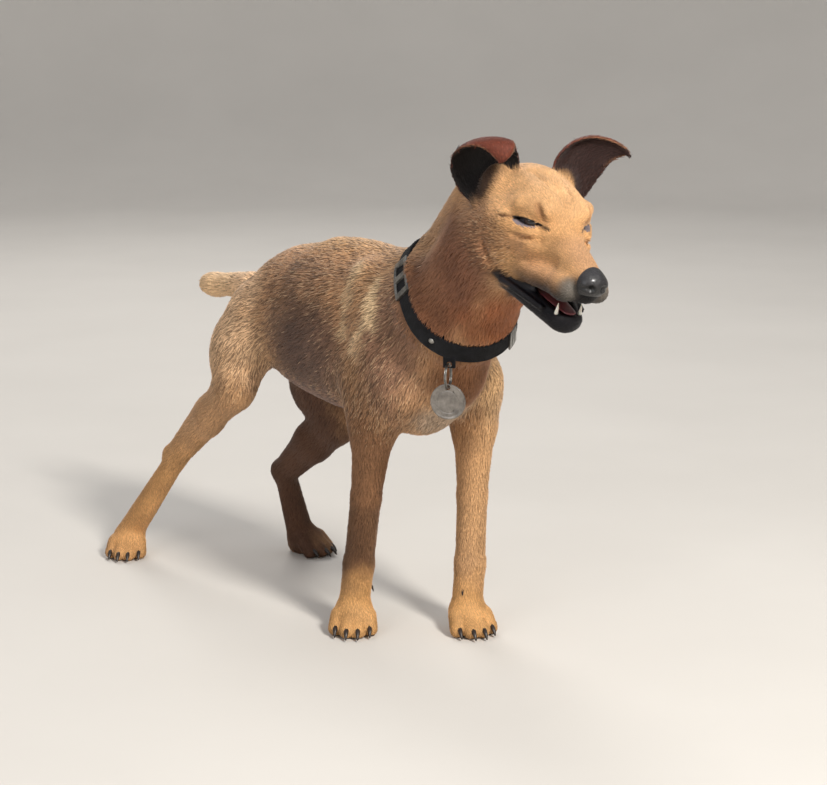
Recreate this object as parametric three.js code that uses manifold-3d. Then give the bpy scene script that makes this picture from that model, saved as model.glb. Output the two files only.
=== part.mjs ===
// A young, short-coated terrier cross, standing with its mouth a little open.
// Life size, in millimetres. The dog faces -Y, its left side is +X, up is +Z
// and the floor is z = 0. The body is a field of blended masses laid on the
// joints of the skeleton. Each part is that field's surface, cut out with
// thin gaps where a person would name a new part.
import * as THREE from "three";
import { mergeVertices } from "three/addons/utils/BufferGeometryUtils.js";
import loadManifold from "manifold-3d";

const wasm = await loadManifold();
wasm.setup();

const V = (x, y, z) => new THREE.Vector3(x, y, z);

// ---------------------------------------------------------------------------
// Driving dimensions
// ---------------------------------------------------------------------------
const GAP = 0.35; // clear space between two parts that meet
const WITHERS = 384; // height of the shoulders
const EYE_RADIUS = 10;
const EYE_SLIT = 25; // length of the half-closed eye, corner to corner
const CLAW_LENGTH = 10;
const CLAW_RADIUS = 3.2;
const EAR_THICKNESS = 4.2;
const COLLAR_RADIUS = 50;
const COLLAR_REAR = 31; // how much further the loop reaches over the nape
const COLLAR_FLARE = 0.3; // how much wider the loop is per millimetre down the neck
const COLLAR_WIDTH = 19;
const COLLAR_THICKNESS = 3.2;
const TAG_RADIUS = 17;
const TAG_THICKNESS = 1.6;
const RING_RADIUS = 11;
const RING_WIRE = 1.3;

// Joints of the skeleton.
const shoulder = { right: V(-43, -142, 258), left: V(44, -156, 256) };
const elbow = { right: V(-42, -104, 208), left: V(54, -142, 206) };
const carpus = { right: V(-46, -84, 68), left: V(45, -148, 68) };
const hip = { right: V(-32, 128, 284), left: V(32, 132, 280) };
const stifle = { right: V(-57, 126, 216), left: V(52, 98, 169) };
const hock = { right: V(-76, 226, 119), left: V(36, 178, 95) };
const tailRoot = V(-2, 172, 312);
const tailTip = V(-5, 266, 303);

// Paws: where each stands, how far its toes turn from -Y towards the dog's
// right, in degrees, and its size.
const paws = {
  front_right: { at: V(-54, -86, 0), turn: 38, size: 1, ankle: carpus.right, shank: 15.5, heel: 5 },
  front_left: { at: V(38, -155, 0), turn: 18, size: 1, ankle: carpus.left, shank: 15.5, heel: 5 },
  hind_right: { at: V(-108, 284, 0), turn: 40, size: 0.94, ankle: hock.right, shank: 12.5, heel: 11 },
  hind_left: { at: V(60, 171, 0), turn: -20, size: 0.96, ankle: hock.left, shank: 12.5, heel: 11 },
};

// The head's own frame: its origin is between the eyes, -y runs along the
// muzzle, +z is up from the bridge of the nose and +x is the dog's left.
const HEAD_SCALE = 1.03;
const turnBy = (axis, degrees) =>
  new THREE.Quaternion().setFromAxisAngle(axis, THREE.MathUtils.degToRad(degrees));
const headTurn = turnBy(V(0, 0, 1), -11.3)
  .multiply(turnBy(V(1, 0, 0), 17.3))
  .multiply(turnBy(V(0, 1, 0), 7.4));
const headPlace = new THREE.Matrix4().compose(
  V(-2, -333, 434), headTurn, V(HEAD_SCALE, HEAD_SCALE, HEAD_SCALE),
);
const head = (x, y, z) => V(x, y, z).applyMatrix4(headPlace);
const alongHead = (x, y, z) => V(x, y, z).applyQuaternion(headTurn);
const eyePlace = { x: 21, y: 8, z: -5 };

// The collar's own frame: its origin is the middle of the loop and +z runs up
// the neck.
const collarAxis = V(-0.2, -0.68, 0.7).normalize();
const collarTurn = new THREE.Quaternion().setFromUnitVectors(V(0, 0, 1), collarAxis);
const collarPlace = new THREE.Matrix4().compose(V(-4.5, -198, 338), collarTurn, V(1, 1, 1));

// ---------------------------------------------------------------------------
// Masses: each gives a distance, negative inside, and blends into the others
// ---------------------------------------------------------------------------

// A cone with round ends, from a to b. side is an optional direction in which
// it is thinner, by the factor thin.
function bone(a, b, ra, rb, blend = 12, side = null, thin = 1) {
  const ab = b.clone().sub(a);
  const n = side ? side.clone().normalize() : V(1, 0, 0);
  const stretch = (v) => v.addScaledVector(n, v.dot(n) * (1 / thin - 1));
  const axis = stretch(ab.clone());
  const lengthSq = axis.lengthSq();
  const middle = a.clone().add(b).multiplyScalar(0.5);
  const reach = ab.length() / 2 + Math.max(ra, rb);
  const q = V(0, 0, 0);
  const distance = (p) => {
    stretch(q.subVectors(p, a));
    const t = Math.min(1, Math.max(0, q.dot(axis) / lengthSq));
    return q.addScaledVector(axis, -t).length() - (ra + (rb - ra) * t);
  };
  return { distance, blend, middle, reach };
}

// An ellipsoid with radii r about centre c, turned by the quaternion turn.
function lump(c, r, blend = 12, turn = null) {
  const back = (turn ?? new THREE.Quaternion()).clone().invert();
  const q = V(0, 0, 0);
  const distance = (p) => {
    q.subVectors(p, c).applyQuaternion(back).divide(r);
    const k0 = q.length();
    const k1 = q.divide(r).length();
    return k1 < 1e-9 ? -Math.min(r.x, r.y, r.z) : (k0 * (k0 - 1)) / k1;
  };
  return { distance, blend, middle: c, reach: Math.max(r.x, r.y, r.z) };
}

const headLump = (x, y, z, rx, ry, rz, blend = 10) =>
  lump(head(x, y, z), V(rx, ry, rz).multiplyScalar(HEAD_SCALE), blend, headTurn);
const headBone = (a, b, ra, rb, blend = 10, side = null, thin = 1) =>
  bone(head(...a), head(...b), ra * HEAD_SCALE, rb * HEAD_SCALE, blend,
    side ? V(...side).applyQuaternion(headTurn) : null, thin);

const bothSides = (make) => [-1, 1].flatMap((s) => make(s));

// Joins the masses and then carves the hollows, both with round blends.
function fieldOf(masses, hollows = []) {
  return (p) => {
    let d = 1e3;
    for (const m of masses) {
      if (p.distanceTo(m.middle) - m.reach * 1.05 > d + m.blend) continue;
      const e = m.distance(p);
      const h = Math.max(m.blend - Math.abs(d - e), 0) / m.blend;
      d = Math.min(d, e) - h * h * m.blend * 0.25;
    }
    for (const m of hollows) {
      if (p.distanceTo(m.middle) - m.reach * 1.05 > -d + m.blend) continue;
      const e = -m.distance(p);
      const h = Math.max(m.blend - Math.abs(d - e), 0) / m.blend;
      d = Math.max(d, e) + h * h * m.blend * 0.25;
    }
    return d;
  };
}

// ---------------------------------------------------------------------------
// The body's masses
// ---------------------------------------------------------------------------
const SIDEWAYS = V(1, 0, 0);

function trunkMasses() {
  return [
    lump(V(0, -30, 292), V(61, 124, 86), 20), // ribs
    lump(V(0, -122, 284), V(54, 66, 84), 24), // chest between the shoulders
    lump(V(-3, -170, 282), V(40, 42, 48), 26), // breastbone's point
    bone(V(0, -112, WITHERS - 18), V(0, 10, WITHERS - 19), 15, 14, 30), // withers
    lump(V(0, 52, 304), V(53, 92, 68), 24), // loin
    lump(V(0, 48, 262), V(42, 92, 46), 26), // belly
    lump(V(0, 112, 294), V(46, 52, 50), 24), // croup
    ...bothSides((s) => [lump(V(s * 22, 128, 276), V(25, 28, 38), 20)]), // buttocks
  ];
}

function neckMasses() {
  return [
    bone(V(0, -124, 314), V(-5, -192, 338), 61, 52, 24, SIDEWAYS, 0.94),
    bone(V(-5, -192, 338), V(-5, -254, 408), 52, 52, 16, SIDEWAYS, 0.95),
    lump(V(-26, -164, 369), V(19, 19, 19), 16), // muscle under the strap, beside the nape
    bone(V(-1, -112, 348), V(-5, -222, 444), 15, 25, 20), // crest
  ];
}

function tailMasses() {
  return [
    bone(tailRoot, tailTip, 17, 12.5, 14),
    lump(tailTip.clone().add(V(0, -14, 0)), V(14, 22, 13.5), 8),
  ];
}

function foreLegMasses(side) {
  const s = side === "left" ? 1 : -1;
  const [sh, el, ca] = [shoulder[side], elbow[side], carpus[side]];
  const blade = V(s * 30, sh.y + 62, 350);
  const elbowPoint = el.clone().add(V(s * 2, 20, 8));
  const middle = el.clone().lerp(ca, 0.5);
  return [
    bone(blade, sh, 18, 26, 24, SIDEWAYS, 0.8),
    bone(sh, el, 25, 24, 20, SIDEWAYS, 0.85),
    lump(el.clone().add(V(s * 2, 8, 38)), V(20, 34, 42), 22), // triceps
    bone(elbowPoint, el.clone().add(V(0, 8, -12)), 9, 13, 12),
    bone(el, middle, 24, 17, 10, SIDEWAYS, 0.9),
    bone(middle, ca, 17, 15.5, 5, SIDEWAYS, 0.94),
  ];
}

const hindAcross = { right: V(0.8, -0.6, 0), left: V(0.94, 0.34, 0) };

function hindLegMasses(side) {
  const across = hindAcross[side];
  const [hp, st, hk] = [hip[side], stifle[side], hock[side]];
  const thigh = hp.clone().lerp(st, 0.6).add(V(0, 20, -2));
  const calf = st.clone().lerp(hk, 0.4).add(V(0, 4, 0));
  const heel = hk.clone().add(V(0, 10, 3));
  return [
    bone(hp, st, 36, 23, 22, SIDEWAYS, 0.7),
    lump(thigh, V(25, 35, 46), 22),
    lump(st.clone().add(V(0, 0, 3)), V(16, 16, 17), 14),
    bone(st, calf, 27, 23, 14, across, 0.68),
    bone(calf, hk, 23, 13.5, 10, across, 0.76),
    bone(calf.clone().add(V(0, 12, 0)), heel, 13, 9, 10),
    lump(heel, V(9.5, 10, 11), 8),
  ];
}

// ---------------------------------------------------------------------------
// Paws
// ---------------------------------------------------------------------------

// Toes from one side of a paw to the other: how far out each stands and how
// far it reaches.
const TOES = [-1.5, -0.5, 0.5, 1.5].map((rank) => ({
  rank,
  out: rank * 10.6,
  reach: Math.abs(rank) > 1 ? 15.5 : 24,
}));
const TOE_RADIUS = 8.3;

const pawFrame = ({ at, turn, size }) =>
  new THREE.Matrix4().compose(at, turnBy(V(0, 0, 1), -turn), V(size, size, size));

function pawMasses(place) {
  const frame = pawFrame(place);
  const at = (x, y, z) => V(x, y, z).applyMatrix4(frame);
  const k = place.size;
  const masses = [
    bone(place.ankle, at(0, place.heel, 25), place.shank, 15.5 * k, 6),
    lump(at(0, 1, 18), V(20, 19, 14).multiplyScalar(k), 10),
    bone(at(0, 13, 9), at(0, 4, 6), 12.5 * k, 13 * k, 8), // main pad
  ];
  for (const { out, reach } of TOES) {
    const knuckle = at(out * 0.9, -reach * 0.35, 18);
    const tip = at(out * 1.06, -reach, 7.5);
    masses.push(bone(knuckle, tip, (TOE_RADIUS + 0.6) * k, TOE_RADIUS * k, 4.5));
  }
  return masses;
}

// ---------------------------------------------------------------------------
// The head's masses and hollows, in its own frame
// ---------------------------------------------------------------------------
function skullMasses() {
  return [
    headLump(0, 46, -4, 39, 50, 35, 10), // brain case
    headLump(0, 14, 2, 27, 27, 24, 16), // forehead
    ...bothSides((s) => [
      headBone([s * 19, -2, 6], [s * 31, 22, 3], 8, 8, 12), // brow
      headBone([s * 22, -4, -21], [s * 36, 38, -15], 12, 12, 14), // cheekbone
      headLump(s * 30, 40, -32, 19, 30, 30, 18), // chewing muscle
      headLump(s * 35, 63, 6, 13, 14, 19, 14), // root of the ear
    ]),
    headLump(0, 58, -36, 38, 36, 36, 20), // throat
    headBone([0, 2, -22], [0, -62, -30], 24, 17, 14, [1, 0, 0], 0.9), // muzzle
    headBone([0, -2, -9], [0, -66, -22], 10.5, 7.5, 12), // bridge of the nose
    ...bothSides((s) => [
      headBone([s * 21, 12, -44], [s * 12, -58, -38], 13, 10.5, 9), // upper lip
    ]),
    headLump(0, -74, -25, 14, 10.5, 10.5, 5), // nose pad
    headLump(0, -67, -37, 10.5, 10, 9, 6), // lip below the nose
  ];
}

function jawMasses() {
  return [
    ...bothSides((s) => [
      headBone([s * 23, 28, -62], [s * 8.5, -50, -69], 12.5, 8.5, 10), // jaw bone
    ]),
    headBone([0, 34, -64], [0, -46, -71], 17, 10, 12), // floor of the mouth
    headLump(0, -54, -69, 11, 10, 10, 8), // chin
  ];
}

function headHollows() {
  return [
    // the open mouth, a wedge as wide as the muzzle that the lips keep nearly
    // shut at the rear, and the palate's arch
    headBone([0, 22, -61.5], [0, -28, -57.8], 0.6, 1.8, 2, [1, 0, 0], 9),
    headBone([0, -28, -57.8], [0, -92, -53], 1.8, 9.8, 2, [1, 0, 0], 9),
    headLump(0, -34, -51, 15, 44, 9, 5),
    ...bothSides((s) => [
      headLump(s * 31, -12, -6, 7, 11, 7, 7), // hollow in front of the eye
      headLump(s * 7, -85.5, -23, 3.2, 4.5, 3, 2), // nostril
    ]),
  ];
}

// ---------------------------------------------------------------------------
// From a field to a closed surface
// ---------------------------------------------------------------------------

// Surface nets: one point in each cell that the surface crosses, pulled onto
// the surface, and one quad across each crossed edge of the grid.
function surfaceOf(field, box, step) {
  const lo = box.min.clone().addScalar(-step * 1.5);
  const size = box.max.clone().sub(lo).addScalar(step * 1.5);
  const count = size.toArray().map((s) => Math.ceil(s / step) + 1);
  const stride = [1, count[0], count[0] * count[1]];
  const inside = (p) => Math.max(field(p), boxDistance(p, box));
  const value = new Float32Array(count[0] * count[1] * count[2]);
  const p = V(0, 0, 0);
  for (let k = 0, i = 0; k < count[2]; k++)
    for (let j = 0; j < count[1]; j++)
      for (let h = 0; h < count[0]; h++, i++)
        value[i] = inside(p.set(h, j, k).multiplyScalar(step).add(lo));

  const corners = [...Array(8).keys()].map((c) => [c & 1, (c >> 1) & 1, c >> 2]);
  const edges = corners.flatMap((a, i) =>
    [1, 2, 4].filter((bit) => !(i & bit)).map((bit) => [a, corners[i | bit]]));
  const offset = ([a, b, c]) => a * stride[0] + b * stride[1] + c * stride[2];
  const pointOf = new Int32Array(value.length).fill(-1);
  const points = [];
  for (let k = 0; k < count[2] - 1; k++)
    for (let j = 0; j < count[1] - 1; j++)
      for (let h = 0; h < count[0] - 1; h++) {
        const cell = h + j * stride[1] + k * stride[2];
        const sum = V(0, 0, 0);
        let crossings = 0;
        for (const [a, b] of edges) {
          const [va, vb] = [value[cell + offset(a)], value[cell + offset(b)]];
          if (va < 0 === vb < 0) continue;
          sum.add(V(...a).lerp(V(...b), va / (va - vb)));
          crossings++;
        }
        if (!crossings) continue;
        const at = sum.divideScalar(crossings).add(V(h, j, k)).multiplyScalar(step).add(lo);
        pointOf[cell] = points.push(at) - 1;
      }

  const e = step * 0.1;
  for (const at of points) {
    const start = at.clone();
    for (let turn = 0; turn < 3; turn++) {
      const slope = V(
        inside(p.copy(at).setX(at.x + e)) - inside(p.copy(at).setX(at.x - e)),
        inside(p.copy(at).setY(at.y + e)) - inside(p.copy(at).setY(at.y - e)),
        inside(p.copy(at).setZ(at.z + e)) - inside(p.copy(at).setZ(at.z - e)),
      ).divideScalar(2 * e);
      at.addScaledVector(slope, -inside(at) / Math.max(slope.lengthSq(), 0.25));
    }
    const moved = at.clone().sub(start);
    at.copy(start).add(moved.clampLength(0, step * 0.45));
  }

  const triangles = [];
  for (let k = 1; k < count[2] - 1; k++)
    for (let j = 1; j < count[1] - 1; j++)
      for (let h = 1; h < count[0] - 1; h++) {
        const cell = h + j * stride[1] + k * stride[2];
        for (let axis = 0; axis < 3; axis++) {
          const [va, vb] = [value[cell], value[cell + stride[axis]]];
          if (va < 0 === vb < 0) continue;
          const [u, w] = [stride[(axis + 1) % 3], stride[(axis + 2) % 3]];
          const quad = [cell, cell - u, cell - u - w, cell - w].map((c) => pointOf[c]);
          if (va >= 0) quad.reverse();
          triangles.push([quad[0], quad[1], quad[2]], [quad[0], quad[2], quad[3]]);
        }
      }
  return { points, triangles };
}

function boxDistance(p, box) {
  return Math.max(
    box.min.x - p.x, p.x - box.max.x,
    box.min.y - p.y, p.y - box.max.y,
    box.min.z - p.z, p.z - box.max.z,
  );
}

// Thins a closed surface to about the wanted number of triangles. It joins
// the two ends of the edge whose loss moves the surface least, again and again.
// Edges under the shortest length go first, however few triangles are left.
function thin({ points, triangles }, wanted, shortest = 0) {
  const faces = triangles.map((t) => [...t]);
  const around = points.map(() => new Set());
  faces.forEach((f, i) => f.forEach((v) => around[v].add(i)));
  const quadric = points.map(() => new Float64Array(10));
  const [ab, ac] = [V(0, 0, 0), V(0, 0, 0)];
  const areaNormal = (a, b, c) =>
    V(0, 0, 0).crossVectors(ab.subVectors(b, a), ac.subVectors(c, a));
  for (const f of faces) {
    const n = areaNormal(...f.map((v) => points[v]));
    const weight = n.length() / 2;
    n.normalize();
    const d = -n.dot(points[f[0]]);
    const [x, y, z] = n.toArray();
    const q = [x * x, x * y, x * z, x * d, y * y, y * z, y * d, z * z, z * d, d * d];
    for (const v of f) q.forEach((value, i) => (quadric[v][i] += value * weight));
  }
  const errorAt = (q, { x, y, z }) =>
    q[0] * x * x + 2 * q[1] * x * y + 2 * q[2] * x * z + 2 * q[3] * x + q[4] * y * y +
    2 * q[5] * y * z + 2 * q[6] * y + q[7] * z * z + 2 * q[8] * z + q[9];
  const bestPoint = (q, a, b) => {
    const m = new THREE.Matrix3().set(q[0], q[1], q[2], q[1], q[4], q[5], q[2], q[5], q[7]);
    const middle = a.clone().lerp(b, 0.5);
    const size = (q[0] + q[4] + q[7]) / 3;
    if (Math.abs(m.determinant()) > 1e-3 * size ** 3) {
      const best = V(-q[3], -q[6], -q[8]).applyMatrix3(m.invert());
      if (best.distanceTo(middle) < a.distanceTo(b)) return best;
    }
    return [middle, a.clone(), b.clone()].reduce((s, t) => (errorAt(q, t) < errorAt(q, s) ? t : s));
  };
  const neighbours = (v) => {
    const found = new Set();
    for (const i of around[v]) faces[i].forEach((w) => found.add(w));
    found.delete(v);
    return found;
  };

  const heap = [];
  const swap = (i, j) => ([heap[i], heap[j]] = [heap[j], heap[i]]);
  const push = (entry) => {
    let i = heap.push(entry) - 1;
    for (let up = (i - 1) >> 1; i && heap[i].cost < heap[up].cost; i = up, up = (i - 1) >> 1)
      swap(i, up);
  };
  const pop = () => {
    swap(0, heap.length - 1);
    const top = heap.pop();
    for (let i = 0; ; ) {
      const [l, r] = [2 * i + 1, 2 * i + 2];
      let least = i;
      if (l < heap.length && heap[l].cost < heap[least].cost) least = l;
      if (r < heap.length && heap[r].cost < heap[least].cost) least = r;
      if (least === i) return top;
      swap(i, least);
      i = least;
    }
  };
  const age = new Int32Array(points.length);
  const consider = (a, b) => {
    const q = quadric[a].map((value, i) => value + quadric[b][i]);
    const at = bestPoint(q, points[a], points[b]);
    const length = points[a].distanceTo(points[b]);
    const isShort = length < shortest;
    const cost = isShort ? length - shortest : errorAt(q, at) + 1e-6 * length ** 2;
    push({ cost, isShort, a, b, at: isShort ? points[a] : at, q, age: age[a] + age[b] });
  };
  points.forEach((_, v) => neighbours(v).forEach((w) => v < w && consider(v, w)));

  const keepsShape = (v, gone, at) => {
    for (const i of around[v]) {
      if (faces[i].includes(gone)) continue;
      const corner = faces[i].map((w) => points[w]);
      const before = areaNormal(...corner);
      const after = areaNormal(...faces[i].map((w) => (w === v ? at : points[w])));
      if (before.dot(after) < 0.25 * before.length() * after.length()) return false;
      if (after.length() < 1e-3) return false;
    }
    return true;
  };
  let left = faces.length;
  while (heap.length && (left > wanted || heap[0].isShort)) {
    const { a, b, at, q, isShort, age: stamp } = pop();
    if (stamp !== age[a] + age[b] || !around[a].size || !around[b].size) continue;
    const [na, nb] = [neighbours(a), neighbours(b)];
    const shared = [...na].filter((v) => nb.has(v));
    if (!na.has(b) || shared.length !== 2 || na.size + nb.size < 8) continue;
    if (!isShort && !(keepsShape(a, b, at) && keepsShape(b, a, at))) continue;
    for (const i of [...around[b]]) {
      if (faces[i].includes(a)) {
        faces[i].forEach((v) => around[v].delete(i));
        faces[i] = null;
        left--;
      } else {
        faces[i] = faces[i].map((v) => (v === b ? a : v));
        around[a].add(i);
      }
    }
    around[b].clear();
    points[a].copy(at);
    quadric[a] = q;
    age[a] += age[b] + 1;
    neighbours(a).forEach((v) => consider(a, v));
  }
  return { points, triangles: faces.filter(Boolean) };
}

// ---------------------------------------------------------------------------
// Solids
// ---------------------------------------------------------------------------
function solidFromGeometry(geometry) {
  const plain = geometry.clone();
  plain.deleteAttribute("normal");
  plain.deleteAttribute("uv");
  const merged = mergeVertices(plain, 1e-4);
  return new wasm.Manifold(new wasm.Mesh({
    numProp: 3,
    vertProperties: new Float32Array(merged.attributes.position.array),
    triVerts: new Uint32Array(merged.index.array),
  }));
}

function solidFromSurface({ points, triangles }) {
  const used = new Map();
  const place = (v) => used.get(v) ?? used.set(v, used.size).get(v);
  const triVerts = new Uint32Array(triangles.flat().map(place));
  const vertProperties = new Float32Array(used.size * 3);
  used.forEach((to, from) => points[from].toArray(vertProperties, to * 3));
  return new wasm.Manifold(new wasm.Mesh({ numProp: 3, vertProperties, triVerts }));
}

// Two vertices in one place would weld two sheets of a surface together, so the
// second of them moves a little way towards its neighbours.
function partTwins({ points, triangles }) {
  const seen = new Set();
  points.forEach((p, v) => {
    const place = p.toArray().map((x) => x.toFixed(2)).join();
    const near = seen.has(place) ? triangles.filter((t) => t.includes(v)) : [];
    if (near.length) p.lerp(mean(near.flat().map((w) => points[w])), 0.05);
    seen.add(place);
  });
  return { points, triangles };
}

// The solid without the tiny edges that cuts leave behind.
const SHORTEST_EDGE = 0.06;

function withoutTinyEdges(solid) {
  const { vertProperties, triVerts } = solid.getMesh();
  const points = [...Array(vertProperties.length / 3).keys()]
    .map((i) => V(0, 0, 0).fromArray(vertProperties, i * 3));
  const triangles = [...Array(triVerts.length / 3).keys()]
    .map((i) => [...triVerts.slice(i * 3, i * 3 + 3)]);
  return solidFromSurface(partTwins(thin({ points, triangles }, Infinity, SHORTEST_EDGE)));
}

function geometryFromSolid(solid) {
  const { vertProperties, triVerts } = solid.getMesh();
  const geometry = new THREE.BufferGeometry();
  geometry.setAttribute("position", new THREE.BufferAttribute(vertProperties, 3));
  geometry.setIndex(new THREE.BufferAttribute(triVerts, 1));
  geometry.computeVertexNormals();
  return geometry;
}

// A large box that keeps what lies on the far side of a plane: the plane goes
// through point, and the box runs from it along the direction.
function halfSpace([point, direction], shift) {
  const reach = 1400;
  const n = direction.clone().normalize();
  const box = new THREE.BoxGeometry(reach, reach, reach);
  box.translate(0, 0, reach / 2);
  box.applyQuaternion(new THREE.Quaternion().setFromUnitVectors(V(0, 0, 1), n));
  box.translate(...point.clone().addScaledVector(n, shift).toArray());
  return solidFromGeometry(box);
}

// The space on the far side of every plane. A positive shift shrinks it.
const spaceOf = (planes, shift) =>
  planes.map((plane) => halfSpace(plane, shift)).reduce((a, b) => a.intersect(b));

const opposite = ([point, direction]) => [point, direction.clone().negate()];

function largestPiece(solid) {
  return solid.decompose().reduce((a, b) => (b.volume() > a.volume() ? b : a));
}

// A closed body through rings of points, each with the same count. Its ends are
// closed by a fan ("round"), by a strip between the two halves of the ring
// ("sheet"), or joined to each other ("loop"). Its faces point out whichever
// way round the rings run.
function loft(rings, ends = "round") {
  const n = rings[0].length;
  const points = rings.flat();
  const faces = [];
  const last = ends === "loop" ? rings.length : rings.length - 1;
  for (let i = 0; i < last; i++)
    for (let j = 0; j < n; j++) {
      const [a, b] = [i * n + j, i * n + ((j + 1) % n)];
      const [c, d] = [a, b].map((v) => (v + n) % (rings.length * n));
      faces.push(a, b, d, a, d, c);
    }
  const close = (start) => {
    if (ends === "sheet")
      return [...Array(n / 2 - 1).keys()].flatMap((j) => {
        const [a, b, c, d] = [j, j + 1, n - 2 - j, n - 1 - j].map((v) => start + v);
        return [[a, b, c], [a, c, d]];
      });
    const middle = points.push(mean(points.slice(start, start + n))) - 1;
    return [...Array(n).keys()].map((j) => [middle, start + j, start + ((j + 1) % n)]);
  };
  if (ends !== "loop") {
    close(0).forEach(([a, b, c]) => faces.push(a, c, b));
    close((rings.length - 1) * n).forEach((face) => faces.push(...face));
  }
  const geometry = new THREE.BufferGeometry().setFromPoints(points);
  geometry.setIndex(faces);
  const solid = solidFromGeometry(geometry);
  if (solid.volume() > 0) return solid;
  return loft(rings.map((ring) => ring.slice().reverse()), ends);
}

const mean = (points) =>
  points.reduce((sum, p) => sum.add(p), V(0, 0, 0)).divideScalar(points.length);

// A curved horn: rings of shrinking radius along a curve. Grown, it is wider by
// grow all round and longer by as much at both ends.
const HORN_SIDES = 5;

function horn(curve, radii, grow = 0) {
  const rings = radii.map((radius, i) => {
    const t = i / (radii.length - 1);
    const tangent = curve.getTangent(t);
    const at = curve.getPoint(t).addScaledVector(tangent, grow * (2 * t - 1) * 1.5);
    const spoke = SIDEWAYS.clone().cross(tangent).normalize().multiplyScalar(radius + grow * 1.3);
    return [...Array(HORN_SIDES).keys()].map((j) =>
      spoke.clone().applyAxisAngle(tangent, (2 * Math.PI * j) / HORN_SIDES).add(at));
  });
  return loft(rings);
}

// ---------------------------------------------------------------------------
// The flesh, as one field
// ---------------------------------------------------------------------------
const flesh = fieldOf(
  [
    ...trunkMasses(), ...neckMasses(), ...tailMasses(),
    ...["right", "left"].flatMap((side) => [...foreLegMasses(side), ...hindLegMasses(side)]),
    ...Object.values(paws).flatMap(pawMasses),
    ...skullMasses(), ...jawMasses(),
  ],
  headHollows(),
);

const around = (points, margin) => new THREE.Box3().setFromPoints(points).expandByScalar(margin);
const UP = V(0, 0, 1);
const floorPlane = [V(0, 0, 0), UP];

// The planes that part one region of flesh from the next: each pair is a point
// and the direction of the side that is kept.
const headCut = [head(0, 82, 10), alongHead(0, -0.93, 0.37)];
const neckCut = [V(-2, -184, 329), collarAxis];
const tailCut = [V(-2, 186, 314), V(0, 0.98, -0.16)];
const mouthCut = [head(0, 22, -61.5), alongHead(0, -0.075, -1)];
const jawEnd = [head(0, 24, -62), alongHead(0, -1, 0.12)];
const noseCut = [head(0, -71.5, -22), alongHead(0, -0.97, 0.25)];
const noseFloor = [head(0, -78, -33), alongHead(0, 0.2, 1)];

const tailRegion = [tailCut, [V(0, 0, 288), UP]];
const foreRegion = (side) => {
  const s = side === "left" ? 1 : -1;
  return [
    [V(s * 17, 0, 0), V(s, 0, 0)],
    [elbow[side].clone().setZ(elbow[side].z + 12), V(s * 0.35, 0, -1)],
    [V(0, -10, 0), V(0, -1, 0)],
  ];
};
const hindRegion = (side) => {
  const s = side === "left" ? 1 : -1;
  return [
    [V(s * 9, 0, 0), V(s, 0, 0)],
    [V(0, 128, 256), V(s * 0.3, 0.42, -0.9)],
    [V(0, 62, 0), V(0, 1, 0)],
  ];
};

// How finely each part is sampled, in millimetres, and the number of triangles
// it keeps before its cuts.
const DETAIL = {
  head: [3.4, 1050],
  nose: [2.4, 150],
  lower_jaw: [2.8, 370],
  neck: [5, 295],
  trunk: [6.5, 745],
  tail: [4, 110],
  foreleg: [4, 270],
  thigh: [5, 310],
  shank: [4, 230],
  paw: [2.8, 280],
};

// One part: the surface inside the box, thinned, and cut to the planes that
// bound its region.
function fleshPart(kind, within, planes) {
  const [step, wanted] = DETAIL[kind];
  const solid = solidFromSurface(thin(surfaceOf(flesh, within, step), wanted));
  return largestPiece(solid.intersect(spaceOf([floorPlane, ...planes], GAP / 2)));
}

// ---------------------------------------------------------------------------
// Ears: thin cupped leaves, each a row of arcs from its root to its tip
// ---------------------------------------------------------------------------

// Each row has the inner edge, the outer edge and how far the arc between them
// bows. The right ear stands and its tip folds forward over the cup. The left
// ear opens outwards and only its tip droops.
const EAR_ROWS = {
  right: [
    { inner: [-20, 54, 22], outer: [-47, 58, -17], bow: [2, 9, -2] },
    { inner: [-23, 56, 34], outer: [-59, 80, -7], bow: [2, 13, 2] },
    { inner: [-29, 56, 43], outer: [-69, 85, 14], bow: [2, 12, 3] },
    { inner: [-34, 52, 48], outer: [-69, 74, 31], bow: [0, 6, 3] },
    { inner: [-37, 42, 47], outer: [-62, 54, 40], bow: [0, -2, 5] },
    { inner: [-43, 38, 39], outer: [-53, 43, 36], bow: [0, -3, 2] },
    { inner: [-47, 40, 33], outer: [-49, 41, 33], bow: [0, 0, 0] },
  ],
  left: [
    { inner: [17, 58, 20], outer: [45, 50, -8], bow: [-1, 9, -2] },
    { inner: [21, 62, 35], outer: [54, 50, 12], bow: [-1, 14, 2] },
    { inner: [34, 64, 49], outer: [60, 48, 30], bow: [-2, 13, 3] },
    { inner: [49, 59, 57], outer: [65, 46, 41], bow: [-2, 8, 4] },
    { inner: [61, 48, 59], outer: [70, 41, 48], bow: [0, 3, 3] },
    { inner: [71, 39, 57], outer: [72, 37, 51], bow: [0, 0, 1] },
    { inner: [74, 33, 53], outer: [73, 33, 52], bow: [0, 0, 0] },
  ],
};
const EAR_RINGS = 12;
const EAR_STEPS = 6; // points from the inner edge to the outer edge

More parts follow.
